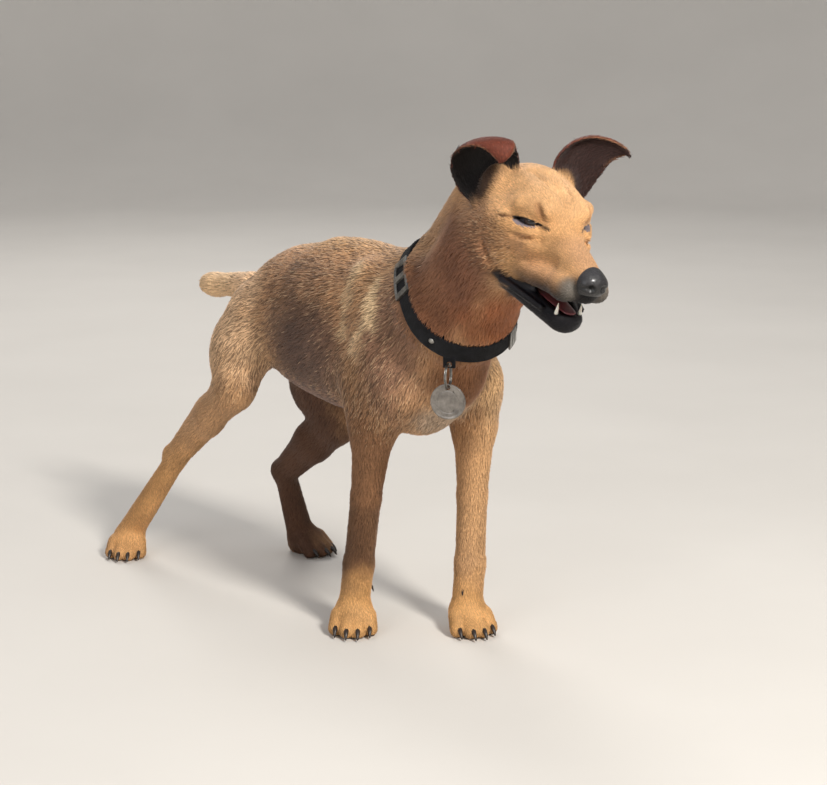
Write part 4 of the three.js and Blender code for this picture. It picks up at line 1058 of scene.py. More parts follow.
class Surface:
    """A node material under construction around one Principled shader."""

    def __init__(self, name, roughness, specular=0.5, metallic=0.0, coat=0.0, sheen=0.0,
                 coat_roughness=0.03, subsurface=0.0):
        self.material = bpy.data.materials.new(name)
        self.material.use_nodes = True
        self.tree = self.material.node_tree
        self.shader = self.tree.nodes["Principled BSDF"]
        for socket, value in {
            "Roughness": roughness, "Specular IOR Level": specular, "Metallic": metallic,
            "Coat Weight": coat, "Coat Roughness": coat_roughness, "Sheen Weight": sheen,
            "Subsurface Weight": subsurface, "Subsurface Scale": 0.002,
        }.items():
            self.shader.inputs[socket].default_value = value
        self.place = self.add("ShaderNodeTexCoord").outputs["Object"]

    def add(self, kind, links=None, **settings):
        node = self.tree.nodes.new(kind)
        for key, value in settings.items():
            setattr(node, key, value)
        for key, value in (links or {}).items():
            if isinstance(value, bpy.types.NodeSocket):
                self.tree.links.new(value, node.inputs[key])
            else:
                node.inputs[key].default_value = value
        return node

    def link(self, output, socket):
        self.tree.links.new(output, self.shader.inputs[socket])

    def noise(self, scale, detail=3, roughness=0.5, stretch=None):
        place = self.place
        if stretch:
            mapping = {"Vector": place, "Scale": stretch}
            place = self.add("ShaderNodeMapping", mapping).outputs["Vector"]
        return self.add("ShaderNodeTexNoise", {"Vector": place, "Scale": scale, "Detail": detail,
                        "Roughness": roughness}).outputs["Fac"]

    def cells(self, scale):
        pattern = self.add("ShaderNodeTexVoronoi", {"Vector": self.place, "Scale": scale})
        return pattern.outputs["Distance"]

    def spread(self, value, low, high, start=0.3, end=0.7):
        """The value, from start to end, mapped on low to high."""
        return self.add("ShaderNodeMapRange", {"Value": value, "From Min": start, "From Max": end,
                        "To Min": low, "To Max": high}).outputs["Result"]

    def attribute(self, name, output="Color"):
        return self.add("ShaderNodeAttribute", attribute_name=name).outputs[output]

    def blend(self, fac, a, b, kind="MIX"):
        node = self.add("ShaderNodeMix", data_type="RGBA", blend_type=kind)
        for socket, value in ((node.inputs[0], fac), (node.inputs[6], a), (node.inputs[7], b)):
            if isinstance(value, bpy.types.NodeSocket):
                self.tree.links.new(value, socket)
            else:
                socket.default_value = value if np.isscalar(value) else (*value, 1)
        return node.outputs[2]

    def shade(self, rgb, value):
        """The colour made lighter or darker by the value."""
        grey = self.add("ShaderNodeCombineColor", {"Red": value, "Green": value, "Blue": value})
        return self.blend(1.0, rgb, grey.outputs["Color"], "MULTIPLY")

    def between(self, fac, low, high):
        """A colour between those of two codes."""
        return self.blend(fac, colour(low), colour(high))

    def paint(self, rgb):
        self.link(rgb, "Base Color")

    def calculate(self, operation, a, b=0.0):
        return self.add("ShaderNodeMath", {0: a, 1: b}, operation=operation).outputs[0]

    def relief(self, height, strength, distance):
        bump = self.add("ShaderNodeBump", {"Height": height, "Strength": strength,
                        "Distance": distance})
        self.link(bump.outputs["Normal"], "Normal")


def coat_look(name):
    look = Surface(name, roughness=0.62, specular=0.28, sheen=0.12)
    fleck = look.spread(look.noise(420, 4, 0.7), 0.82, 1.16)
    look.paint(look.shade(look.attribute("colour_with_painted_light"), fleck))
    look.relief(look.noise(2600, 2), 0.35, 0.0004)
    return look.material


def skin_look():
    look = Surface("hide", roughness=0.66, specular=0.3, subsurface=0.04)
    fleck = look.spread(look.noise(600, 4, 0.7), 0.78, 1.15)
    look.paint(look.shade(look.attribute("colour_with_painted_light"), fleck))
    look.link(look.spread(look.attribute("wet", "Fac"), 0.68, 0.22, 0, 1), "Roughness")
    look.relief(look.noise(1500, 5, 0.65, stretch=(1, 0.35, 0.6)), 0.5, 0.0006)
    return look.material


def leather_look():
    """The nose: fine dark pebbles, a little wet, with painted shade in the grooves between them,
    in and round the nostrils and towards the bottom.
    """
    look = Surface("nose_leather", roughness=0.45, specular=0.4, coat=0.4, coat_roughness=0.2)
    pebble = look.spread(look.cells(900.0), 1.0, 0.0, 0.0, 0.7)
    tone = look.between(look.noise(160), "1a191b", "2b292c")
    # darkest in and round the nostrils and towards the bottom: painted shade
    tone = look.blend(look.attribute("nose_shade", "Fac"), tone, colour("050505"))
    # the pebbles lighter on top and darker in the grooves between them: painted light and shade
    # that follows the relief
    look.paint(look.shade(tone, look.spread(pebble, 0.7, 1.15, 0, 1)))
    look.relief(pebble, 0.6, 0.0005)
    return look.material


def eye_look():
    """Pupil, iris with a dark rim, and white, by degrees from the middle of the gaze."""
    look = Surface("eyeball", roughness=0.12, specular=0.5, coat=0.6)
    degrees = look.attribute("gaze", "Fac")
    streaks = look.noise(900, 4, 0.6)
    iris = look.between(streaks, "1c0f08", "3d2413")
    iris = look.blend(look.spread(degrees, 0, 1, 32, 39), iris, colour("0d0806"))
    white = look.between(look.noise(300, 4), "433f43", "605c62")
    outer = look.blend(look.spread(degrees, 0, 1, 42, 47), iris, white)
    look.paint(look.blend(look.spread(degrees, 0, 1, 13, 15), colour("040303"), outer))
    look.relief(streaks, 0.05, 0.0001)
    return look.material


def horn_look():
    look = Surface("claw_horn", roughness=0.36, specular=0.5)
    lines = look.noise(1400, 4, 0.6, stretch=(1, 1, 0.25))
    look.paint(look.between(look.spread(lines, 0, 1), "0f0c0b", "3a2e27"))
    look.relief(lines, 0.25, 0.0003)
    return look.material


def tooth_look():
    look = Surface("tooth_enamel", roughness=0.34, specular=0.4, coat=0.15, subsurface=0.1)
    stain = look.spread(look.noise(260, 4), 0, 1, 0.45, 0.75)
    look.paint(look.between(stain, "f3eee2", "e6dabd"))
    look.relief(look.noise(800), 0.1, 0.0002)
    return look.material


def tongue_look():
    look = Surface("tongue_wet", roughness=0.3, specular=0.5, coat=0.4, coat_roughness=0.15,
                   subsurface=0.15)
    look.paint(look.between(look.noise(220, 3), "6d3036", "96565a"))
    look.relief(look.cells(1300.0), 0.4, 0.0004)
    return look.material


def webbing_look():
    """Black nylon: a fine weave along and across the strap."""
    look = Surface("webbing", roughness=0.78, specular=0.2, sheen=0.04)
    waves = []
    for name, pitch in (("along", 5.2), ("across", 4.4)):
        turn = look.calculate("MULTIPLY", look.attribute(name, "Fac"), pitch)
        waves.append(look.calculate("SINE", turn))
    weave = look.calculate("MULTIPLY", *waves)
    wear = look.spread(look.noise(120, 5, 0.7), 0, 1, 0.4, 0.75)
    tone = look.between(wear, "0c0c0f", "1d1d22")
    # the weave lighter on its threads and darker in the grooves between them: painted light and
    # shade that follows the relief
    look.paint(look.shade(tone, look.spread(weave, 0.7, 1.25, -1, 1)))
    look.relief(weave, 0.7, 0.0005)
    return look.material


def thread_look():
    look = Surface("stitching", roughness=0.7, specular=0.3)
    look.paint(look.between(look.noise(900), "121216", "26262b"))
    look.relief(look.noise(4000), 0.3, 0.0002)
    return look.material


def metal_look(name, dark, light, roughness):
    """Worn metal: fine scratches and a little tarnish."""
    look = Surface(name, roughness=roughness, metallic=1.0)
    scratch = look.noise(2200, 5, 0.7, stretch=(1, 0.15, 3))
    tarnish = look.spread(look.noise(110, 5, 0.65), 0, 1, 0.35, 0.7)
    look.paint(look.between(tarnish, dark, light))
    look.link(look.spread(scratch, roughness - 0.1, roughness + 0.16), "Roughness")
    look.relief(scratch, 0.12, 0.0002)
    return look.material


# --- The skin ---
HEAD_SIDE = (COLLAR.at, collar_axis)
BODY_SIDE = (COLLAR.at, -collar_axis)
OVERLAP = 3  # how far each half of the skin runs on under the strap
SKIN_SHADE = 0.82  # the skin under the coat is painted darker than the hair: painted shade under the coat
MOUTH_BALL = (V(0, -30, -50), 85)  # in the head's frame: the whole mouth is inside it

FLESH_NODES = ["head", "lower_jaw", "neck", "trunk", "tail"]
FLESH_NODES += [f"{part}_{side}" for side in SIDES for part in (
    "ear", "foreleg", "thigh", "shank", "paw_front", "paw_hind")]


def skin_half(field, low, high, step):
    points, quads = surface_of(field, low, high, step)
    return settled(field, points, step * 0.4, turns=1), quads


def head_extent():
    """Corners of a box round the ears, the muzzle and the neck down to the strap."""
    ears = [ear.grid.reshape(-1, 3) for ear in EARS.values()]
    muzzle = head([(0, -98, -85), (40, 0, -40), (-40, 0, -40)])
    strap = COLLAR.at + np.array([(0, 0, -62), (-66, 100, 0), (66, 0, 0)])
    p = np.concatenate([*ears, muzzle, strap])
    return p.min(0) - 6, p.max(0) + 6


def round_eyes(bm, reach):
    """The points of an open mesh in millimetres, and which of them lie round an eye."""
    co = np.array([v.co for v in bm.verts]) / MM - SHIFT
    near = np.zeros(len(co), bool)
    for eye in EYES.values():
        q = eye.inside(co)
        near |= (np.linalg.norm(q * V(1, 1.5, 0.8), axis=1) < reach) & (q[:, 2] > 2)
    return co, near


def refine_lids(bm):
    """Makes the faces round each eye finer, then lays them on the skin's field again."""
    for reach in (19, 17):
        near = round_eyes(bm, reach)[1]
        chosen = [e for e in bm.edges if near[e.verts[0].index] and near[e.verts[1].index]]
        bmesh.ops.subdivide_edges(bm, edges=chosen, cuts=1, use_grid_fill=True)
        bm.verts.index_update()
        bm.verts.ensure_lookup_table()
        co, near = round_eyes(bm, reach - 1)
        co[near] = settled(head_skin, co[near], 0.5)
        for i in np.nonzero(near)[0]:
            bm.verts[i].co = Vector(to_metres(co[i]))


def build_skin():
    head_low, head_high = head_extent()
    head_half = skin_half(cut_off(head_skin, HEAD_SIDE, OVERLAP), head_low, head_high, HEAD_STEP)
    low, high = (np.array(corner) / MM - SHIFT for corner in cad_box)
    high = np.array([high[0], high[1], COLLAR.at[2] + 70])
    body_half = skin_half(cut_off(body_skin, BODY_SIDE, OVERLAP), low - 4, high + 4, BODY_STEP)
    points = np.concatenate([head_half[0], body_half[0]])
    quads = np.concatenate([head_half[1], body_half[1] + len(head_half[0])])
    mesh = new_mesh("skin", points, quads)
    edit(mesh, refine_lids)
    mesh.polygons.foreach_set("use_smooth", np.full(len(mesh.polygons), True))
    bare, on_ear = paint_skin(mesh)
    return piece(mesh, skin_look(), FLESH_NODES), bare, on_ear


def paint_skin(mesh):
    """Colours the skin. Gives how bare each point is, and how far it lies on an ear."""
    p = points_of(mesh)
    # painted shade: the skin under the coat is darker than the hair over it
    rgb = painted(p)[0] * SKIN_SHADE
    on_ear = ear_paint(p, read(mesh, "normal"), rgb)
    lip, lining = np.zeros(len(p)), np.zeros(len(p))
    near = close_by(in_head(p), *MOUTH_BALL)
    lip[near], lining[near] = lip_share(p[near])
    rim, lower = lid_share(p)
    # dark rims on the lids, the lower one painted pale as a painted reflection on its wet edge
    lid = mix(LID_RIM, LOWER_LID_REFLECTION, 0.75 * lower[:, None])
    for tone, share in ((LINING, lining), (LIP, lip), (lid, rim), (PAD, ramp(2.2, 0.8, p[:, 2]))):
        rgb = mix(rgb, tone, share[:, None])
    give(mesh, "colour_with_painted_light", rgb)
    give(mesh, "wet", np.maximum(np.maximum(lip * 0.6, lining), rim * 0.6))
    return np.maximum(np.maximum(lip * 0.9, lining), rim), on_ear


# --- The coat: tapering three-sided tufts that lie along the body ---
TUFT_LIMIT = 19500  # tufts in one piece
SPACING = {"face": 1.15, "body": 1.95, "ear": 1.45}
STRAP_MARGIN = 1.3  # no hair is rooted this near to the strap's edges
NOSE_MARGIN = 0.6  # or to the nose's leather
SOLE_MARGIN = 1.2  # or to the soles
NOSE_BALL = (V(0, -78, -24), 24)  # in the head's frame: the leather is inside it


def roots_on(mesh, bare, on_ear):
    """Evenly scattered places on the skin, with its direction there."""
    mesh.calc_loop_triangles()
    tri = np.zeros(len(mesh.loop_triangles) * 3, np.int32)
    mesh.loop_triangles.foreach_get("vertices", tri)
    tri = tri.reshape(-1, 3)
    p = points_of(mesh)
    a, b, c = (p[tri[:, k]] for k in range(3))
    cross = np.cross(b - a, c - a)
    area = np.linalg.norm(cross, axis=1) / 2
    middle = (a + b + c) / 3
    ear_share = on_ear[tri].mean(1)
    spacing = mix(SPACING["face"], SPACING["body"], ramp(2.5, 11, lie_at(middle)[1]))
    spacing = mix(spacing, SPACING["ear"], ear_share)
    hidden = (middle[:, 2] < SOLE + SOLE_MARGIN) | (bare[tri].mean(1) > 0.45)
    height, out = collar_reach(middle)
    strap = (np.abs(height) < COLLAR_WIDTH / 2 + STRAP_MARGIN) & (out < 12)
    hidden |= strap & close_by(middle, COLLAR.at, COLLAR_NEAR)
    hidden |= close_by(in_head(middle), *NOSE_BALL) & (nose_share(middle) > -NOSE_MARGIN)
    wanted = np.where(hidden, 0, area / spacing**2)
    total = np.cumsum(wanted)
    count = int(total[-1])
    even = (np.arange(count) + rng.uniform(0, 1, count)) * total[-1] / count
    pick = np.minimum(np.searchsorted(total, even), len(tri) - 1)
    s, t = rng.uniform(0, 1, (2, count))
    flip = s + t > 1
    s[flip], t[flip] = 1 - s[flip], 1 - t[flip]
    at = a[pick] + (b - a)[pick] * s[:, None] + (c - a)[pick] * t[:, None]
    return at, unit(cross[pick]), spacing[pick], ear_share[pick]


TRUNK_LINE = (V(0, -200, 300), V(0, 200, 290))
UNWRAP_LINES = {  # lines that the paired regions of trunk, head and neck go round
    "back": TRUNK_LINE,
    "fore": TRUNK_LINE,
    "rear": TRUNK_LINE,
    "head": head([(0, -90, -30), (0, 90, -30)]),
    "neck": (COLLAR.at + collar_axis * 90, COLLAR.at - collar_axis * 60),
}


def unwrapped(p, region):
    """Where each point is on the region's own shape: round it and along it, 0 to 1."""
    kind = region.split("_")[0]
    own = [lie for lie in LIES if lie.region == region]
    a, b = UNWRAP_LINES.get(kind, (own[0].a, own[-1].b))
    axis = unit(b - a)
    side = unit(np.cross(axis, V(0, 0.3, 1) if abs(axis[2]) < 0.8 else V(0, 1, 0)))
    up = np.cross(side, axis)
    q = p - a
    mirror = -1 if kind in UNWRAP_LINES and "right" in region else 1
    uv = np.stack([np.arctan2(q @ side * mirror, q @ up), q @ axis], 1)
    low, high = np.percentile(uv, 0.5, axis=0), np.percentile(uv, 99.5, axis=0)
    return np.clip((uv - low) / (high - low), 0, 1)


BLADE = np.array([  # corners of one tuft: along, across, up
    (0, -1, 0), (0, 1, 0), (0, 0, 1.1), (1, -0.8, 0), (1, 0.8, 0), (1, 0, 0.8), (2, 0, 0),
])
BLADE_FACES = np.array([
    (0, 1, 4), (0, 4, 3), (1, 2, 5), (1, 5, 4), (2, 0, 3), (2, 3, 5),
    (3, 4, 6), (4, 5, 6), (5, 3, 6), (0, 2, 1),
])
PATCH = 0.003  # one tuft's patch on the bake map
ROOT_DEPTH = 0.35  # a tuft starts this far under the skin
MOST_LIFT, MOST_DROP = 1.8, 3.5  # of a tuft's middle and tip, off the skin and towards it
TUFT_HEIGHT = 0.7  # of its ridge, in widths
TURN_ASIDE, TURN_ON = 0.45, 0.12  # how far a tuft's shading turns to its edges and its tip
# A tuft's root is painted darker than the rest: painted shade deep in the coat.
ROOT_SHADE = 0.74


def tufts(name, root, n, way, length, width, rgb, tips, uv, look):
    """One coat piece: a closed blade from each root, bent along the skin."""
    count = len(root)
    side = unit(np.cross(n, way))
    field = head_skin if name.startswith(("coat_head", "coat_neck", "coat_ear")) else body_skin
    lift = np.minimum(0.10 * length + 0.25, MOST_LIFT) * rng.uniform(0.7, 1.3, count)

    def over_skin(share, height):
        p = root + way * (length * share)[:, None]
        return p + n * np.clip(height - field(p), -MOST_DROP, MOST_DROP)[:, None]

    middle = over_skin(0.5, lift * 0.9)
    tip = over_skin(1, lift * rng.uniform(0.6, 1.5, count))
    spine = [root - n * ROOT_DEPTH, middle, tip]
    corners = np.zeros((count, len(BLADE), 3))
    normals = np.zeros_like(corners)
    tones = np.zeros_like(corners)
    # the root painted darker as shade deep in the coat
    shades = (ROOT_SHADE, 1.0, tips[:, None])
    for k, (at, across, up) in enumerate(BLADE):
        shift = side * (across * width)[:, None] + n * (up * width * TUFT_HEIGHT)[:, None]
        corners[:, k] = spine[int(at)] + shift
        normals[:, k] = n + side * across * TURN_ASIDE + way * TURN_ON * at
        tones[:, k] = rgb * shades[int(at)]
    corners[..., 2] = np.maximum(corners[..., 2], SOLE * 0.7)
    faces = (np.arange(count)[:, None, None] * len(BLADE) + BLADE_FACES).reshape(-1, 3)
    mesh = new_mesh(name, corners.reshape(-1, 3), faces)
    give(mesh, "colour_with_painted_light", tones.reshape(-1, 3))
    local = np.stack([BLADE[:, 1] * 0.5, BLADE[:, 0] / 2 - 0.5], 1) * PATCH * 0.9
    spots = mix(0.01, 0.99, uv)[:, None] + local
    layer = mesh.uv_layers.new(name="OFBake")
    layer.data.foreach_set("uv", spots.reshape(-1, 2)[faces.ravel()].astype(np.float32).ravel())
    mesh.normals_split_custom_set_from_vertices(unit(normals).reshape(-1, 3).tolist())
    piece(mesh, look)


UNTIDINESS = 0.17  # how far the hair strays from its lie
LENGTH_RANGE = (0.75, 1.2)
SHORTEST = 2
UNDER_STRAP = 1.5  # the most that hair may reach under the strap
DARK_HAIRS, FAWN_HAIRS = 0.30, 0.24  # their shares in the sable parts


def groomed(root, n, ear_share):
    """Way, length, region and, on the ears, unwrapped place of the hair at each root."""
    way, length, strongest = lie_at(root)
    region = np.array([lie.region for lie in LIES])[strongest].astype(object)
    ear_uv = np.zeros((len(root), 2))
    for side, ear in EARS.items():
        near = np.nonzero((ear_share > 0.5) & (SIDES[side] * in_head(root)[:, 0] > 0))[0]
        face = ear.nearest(root[near])[0]
        way[near] = ear.lie[face]
        length[near] = EAR_HAIR * mix(1.0, 0.75, ear.v[face])
        region[near] = "ear_" + side
        outer = (n[near] * ear.back[face]).sum(1) > 0
        ear_uv[near] = np.stack([ear.u[face] * 0.48 + 0.52 * outer, ear.v[face]], 1)
    way = way + rng.normal(0, UNTIDINESS, way.shape)
    way = unit(way - n * (way * n).sum(1, keepdims=True))
    length = length * rng.uniform(*LENGTH_RANGE, len(root))
    length = np.minimum(length, strap_room(root, way) + UNDER_STRAP)
    return way, np.maximum(length, SHORTEST), region, ear_uv


def strap_room(root, way):
    """How long the hair above the strap can be before it runs under the strap."""
    height, out = collar_reach(root)
    to_strap = height - COLLAR_WIDTH / 2
    falling = -(way @ collar_axis)
    above = (to_strap > 0) & (falling > 0.1) & (out < 10)
    return np.where(above, to_strap / np.maximum(falling, 0.1), 99)


def coloured(root, n, ear_share):
    """Colour of the hair at each root, with sable and fawn hairs, and shade of its tip."""
    count = len(root)
    rgb, sable = painted(root)
    ear_paint(root, n, rgb)
    dark = rng.uniform(0, 1, count) < DARK_HAIRS * sable
    fawn = rng.uniform(0, 1, count) < FAWN_HAIRS * sable * ramp(0.06, 0.22, rgb.mean(1))
    rgb = np.where(dark[:, None], mix(rgb, SABLE_TIP, 0.55), rgb)
    rgb = np.where((fawn & ~dark)[:, None], mix(rgb, FAWN, 0.45), rgb)
    uneven = mix(0.09, 0.2, ear_share)
    rgb = rgb * np.exp(rng.normal(0, 1, count) * uneven + 0.05)[:, None]
    return rgb, mix(1.12, 0.8, sable * rng.uniform(0, 1, count))


SLOTS = {"back": "coat_body", "fore": "coat_body", "rear": "coat_body", "ear": "coat_ear"}


def build_coat(skin, bare, on_ear):
    root, n, spacing, ear_share = roots_on(skin.data, bare, on_ear)
    way, length, region, ear_uv = groomed(root, n, ear_share)
    width = 0.30 * spacing * rng.uniform(0.8, 1.2, len(root))
    rgb, tips = coloured(root, n, ear_share)
    looks = {slot: coat_look(slot) for slot in ("coat_body", "coat_ear", "coat_tan")}
    for name in sorted(set(region)):
        own = np.nonzero(region == name)[0]
        if len(own) > TUFT_LIMIT:
            own = np.sort(rng.choice(own, TUFT_LIMIT, replace=False))
        kind = name.split("_")[0]
        uv = ear_uv[own] if kind == "ear" else unwrapped(root[own], name)
        slot = SLOTS.get(kind, "coat_tan")
        tufts("coat_" + name, root[own], n[own], way[own], length[own], width[own], rgb[own],
              tips[own], uv, looks[slot])


# --- Eyes, nose, teeth, tongue and claws ---


def ring_angles(count):
    """Angles of evenly spaced places round a ring."""
    return np.linspace(0, 2 * math.pi, count, endpoint=False)


GAZE = V(0.6, -0.78, 0.16)  # of the left eye, in the head's frame


def build_eyes():
    look = eye_look()
    rings, around = 48, 64
    polar = np.linspace(0.001, math.pi - 0.001, rings)[:, None]
    turn = ring_angles(around)[None, :]
    cornea = 0.55 * ramp(0.75, 0.35, polar)  # the clear front stands out a little
    r = EYE_RADIUS - 0.1 + cornea
    ball = np.stack([r * np.sin(polar) * np.cos(turn), r * np.sin(polar) * np.sin(turn),
                     r * np.cos(polar) + 0 * turn], -1).reshape(-1, 3)
    for side, s in SIDES.items():
        gaze = unit(along_head(GAZE * V(s, 1, 1)))
        x = unit(np.cross(V(0, 0, 1), gaze))
        place = Place(x, np.cross(gaze, x), gaze, EYES[side].at)
        faces = loop_faces(rings, around, False)
        mesh = new_mesh("eyeball_" + side, place.out(ball), faces[:, ::-1])
        give(mesh, "gaze", np.repeat(np.degrees(polar[:, 0]), around))
        close_poles(mesh, rings, around)
        piece(mesh, look, ["eye_" + side])


def build_nose():
    middle = head(V(0, -79, -23))
    field = lambda p: np.maximum(nose_skin(p), -nose_share(p) - 0.5)
    made = field_piece("nose_pad", field, middle - 21, middle + 21, DETAIL_STEP, leather_look(),
                       ["nose"])
    p = points_of(made.data)
    # painted shade of the nose: darkest in and round the nostrils, and darker towards the bottom
    nostril_shade = ramp(2.0, -0.5, np.min([m.distance(p) for m in NOSTRILS], axis=0))
    front = 0.8 * ramp(3.0, -4.0, (p - middle)[:, 2])
    give(made.data, "nose_shade", np.maximum(nostril_shade, front))


def finish_node(name, look, levels):
    """Rounds a carried-over node and gives it its material."""
    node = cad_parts[name]
    node.data.materials.clear()
    node.data.materials.append(look)
    node.data.polygons.foreach_set("use_smooth", [True] * len(node.data.polygons))
    node.modifiers.new("joined edges", "WELD").merge_threshold = 0.01 * MM
    rounding = node.modifiers.new("rounding", "SUBSURF")
    rounding.levels = rounding.render_levels = levels


def finish_nodes():
    horn, tooth, tongue = horn_look(), tooth_look(), tongue_look()
    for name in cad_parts:
        if name.startswith(("claw", "dewclaw")):
            finish_node(name, horn, 2)
        elif name.startswith("canine"):
            finish_node(name, tooth, 2)
    finish_node("tongue", tongue, 3)


# --- Collar, ring and tag ---


def on_collar(angle, out, height):
    """Places on the loop: how far out from the strap's inside, and how high on it."""
    angle, out, height = np.broadcast_arrays(*(np.asarray(v, float) for v in (angle, out, height)))
    radius = COLLAR_RADIUS + out - COLLAR_FLARE * height
    rear = radius + COLLAR_REAR * np.maximum(0, np.sin(angle))
    return COLLAR.out(np.stack([np.cos(angle) * radius, np.sin(angle) * rear, height], -1))


CORNER_POINTS = 4


def rounded_outline(width, thickness, radius):
    """A flat bar's section, with rounded corners: points of (height, out)."""
    points = []
    for sx, sy, start in ((1, 1, 0), (-1, 1, 90), (-1, -1, 180), (1, -1, 270)):
        for step in range(CORNER_POINTS):
            a = math.radians(start + 90 * step / (CORNER_POINTS - 1))
            points.append((sx * (width / 2 - radius) + radius * math.cos(a),
                           thickness / 2 + sy * (thickness / 2 - radius) + radius * math.sin(a)))
    return np.array(points)


def bar_on_collar(name, start, end, middle, width, inside, thickness, radius, look,
                  replaces=(), steps=200):
    """A bar bent along the strap from one angle to another, in degrees."""
    closed = end - start >= 360
    section = rounded_outline(width, thickness, radius)
    count = steps if closed else steps + 1
    angles = np.radians(np.linspace(start, end, count, endpoint=not closed))
    points = on_collar(angles[:, None], inside + section[None, :, 1], middle + section[None, :, 0])
    rings, around = points.shape[:2]
    mesh = new_mesh(name, points.reshape(-1, 3), loop_faces(rings, around, closed))
    give(mesh, "along", np.repeat(angles * COLLAR_RADIUS, around))
    give(mesh, "across", np.tile(section[:, 0], rings))
    if not closed:
        close_poles(mesh, rings, around)
    else:
        face_out(mesh)
    return piece(mesh, look, replaces)


LUG_ANGLE = math.radians(-133)
LUG_DROP = 7  # down to the middle of the hole, from just above the strap's lower edge
LUG_SIZE = (12, 12, 2.6)
LUG_BORE = 2.6  # radius of the hole
RING_LEAN = 4.5  # how far out from the lug the ring's middle hangs
RING_DROP = math.sqrt(RING_RADIUS**2 - RING_LEAN**2)
TAG_HOLE = 2.2
TAG_HOLE_INSET = 3.6
lug_hole = on_collar(LUG_ANGLE, COLLAR_THICKNESS / 2, 1.5 - COLLAR_WIDTH / 2) + V(0, 0, -LUG_DROP)
lug_out = on_collar(LUG_ANGLE, 50, 0) - on_collar(LUG_ANGLE, -50, 0)
lug_out = unit(lug_out * V(1, 1, 0))


def hanging(drop, lean=0):
    """A frame under the lug: y is up and z points away from the neck."""
    up = V(0, 0, 1)
    return Place(np.cross(up, lug_out), up, lug_out, lug_hole - up * drop + lug_out * lean)


def rounded_box(q, size, radius):
    gap = np.abs(q) - (np.asarray(size) / 2 - radius)
    return (np.linalg.norm(np.maximum(gap, 0), axis=1) + np.minimum(gap.max(1), 0)) - radius


def build_strap():
    webbing, thread = webbing_look(), thread_look()
    bar_on_collar("strap_webbing", 0, 360, 0, COLLAR_WIDTH, 0, COLLAR_THICKNESS, 1.2, webbing,
                  ["collar_strap"], 220)
    lug = hanging(0)

    def lug_field(p):
        q = lug.inside(p)
        plate = rounded_box(q - V(0, 2.5, 0), LUG_SIZE, 1.1)
        return carve(plate, np.hypot(q[:, 0], q[:, 1]) - LUG_BORE, 0.6)

    made = field_piece("strap_lug", lug_field, lug.at + V(-11, -11, -9), lug.at + V(11, 11, 12),
                       DETAIL_STEP, webbing)
    q = lug.inside(points_of(made.data))
    give(made.data, "along", q[:, 0])
    give(made.data, "across", q[:, 1])
    build_stitches(thread)


STITCH = (2.7, 0.55, 0.35)  # length, width and height of one stitch
STITCH_PITCH = 4.0
STITCH_INSET = 2.2  # from the strap's edge
STITCH_SUNK = 0.2
BLOCK_FACES = (
    (3, 2, 1, 0), (4, 5, 6, 7), (0, 1, 5, 4), (1, 2, 6, 5), (2, 3, 7, 6), (3, 0, 4, 7),
)


def build_stitches(thread):
    """Two rows of stitches: each a small block, narrower on top and sunk in the strap."""
    count = int(2 * math.pi * (COLLAR_RADIUS + COLLAR_REAR / 3) / STITCH_PITCH)
    length, width, height = STITCH
    half = length / 2 / (COLLAR_RADIUS + COLLAR_THICKNESS)
    block = []
    for up, shorter, narrower in ((0, 1, 1), (height + STITCH_SUNK, 0.8, 0.6)):
        for da, dh in ((-1, -1), (1, -1), (1, 1), (-1, 1)):
            block.append((da * half * shorter, up, dh * width / 2 * narrower))
    along, up, across = (np.array(values)[None] for values in zip(*block))
    angles = ring_angles(count)[:, None] + along
    line = COLLAR_WIDTH / 2 - STITCH_INSET
    points = [on_collar(angles, COLLAR_THICKNESS - STITCH_SUNK + up, row * line + across)
              for row in (-1, 1)]
    faces = np.arange(2 * count)[:, None, None] * len(block) + np.array(BLOCK_FACES)
    mesh = new_mesh("strap_stitching", np.reshape(points, (-1, 3)), faces.reshape(-1, 4))
    face_out(mesh)
    piece(mesh, thread)


SLIDES = {  # middle and length of arc in degrees, height of the frame
    "collar_buckle": (136, 30, 2.4),
    "collar_adjuster": (-58, 14, 2.0),
}
SLIDE_WIDTH, SLIDE_EDGE = 21, 2.6
SLIDE_BAR = 4  # length of arc of each bar across the strap, in degrees


def build_slides(metal):
    """Slides on the strap: a frame with bars across it that the webbing runs under."""
    side = (SLIDE_WIDTH - SLIDE_EDGE) / 2
    for name, (middle, arc, thickness) in SLIDES.items():
        low, high = middle - arc / 2, middle + arc / 2
        bars = [(low, high, side, SLIDE_EDGE), (low, high, -side, SLIDE_EDGE)]
        for start in (low, high - SLIDE_BAR, middle - SLIDE_BAR / 2):
            bars.append((start, start + SLIDE_BAR, 0, SLIDE_WIDTH))
        for k, (start, end, centre, width) in enumerate(bars):
            bar_on_collar(f"{name}_bar_{k}", start, end, centre, width, COLLAR_THICKNESS + 0.1,
                          thickness, 0.7, metal, [name] if k == 0 else (), 24)


RIVET_ANGLE = math.radians(-156)
RIVET_RADIUS, RIVET_HEIGHT = 3.0, 1.7
RIVET_SUNK = 0.3  # in the strap
RIVET_STEP = 0.3  # its grid is finer than that of the other small parts


def build_rivet(metal):
    """A domed rivet head: the upper part of an ellipsoid."""
    out = on_collar(RIVET_ANGLE, 1, 0) - on_collar(RIVET_ANGLE, 0, 0)
    up = COLLAR.turn[:, 2]
    foot = on_collar(RIVET_ANGLE, COLLAR_THICKNESS, 0)
    place = Place(unit(np.cross(up, out)), up, unit(out), foot)
    radii = V(RIVET_RADIUS, RIVET_RADIUS, RIVET_HEIGHT)

    def dome(p):
        q = place.inside(p)
        cap = np.linalg.norm(q / radii, axis=1) * RIVET_HEIGHT - RIVET_HEIGHT
        return np.maximum(cap, -RIVET_SUNK - q[:, 2])

    field_piece("collar_rivet_head", dome, place.at - 4, place.at + 4, RIVET_STEP, metal,
                ["collar_rivet"])


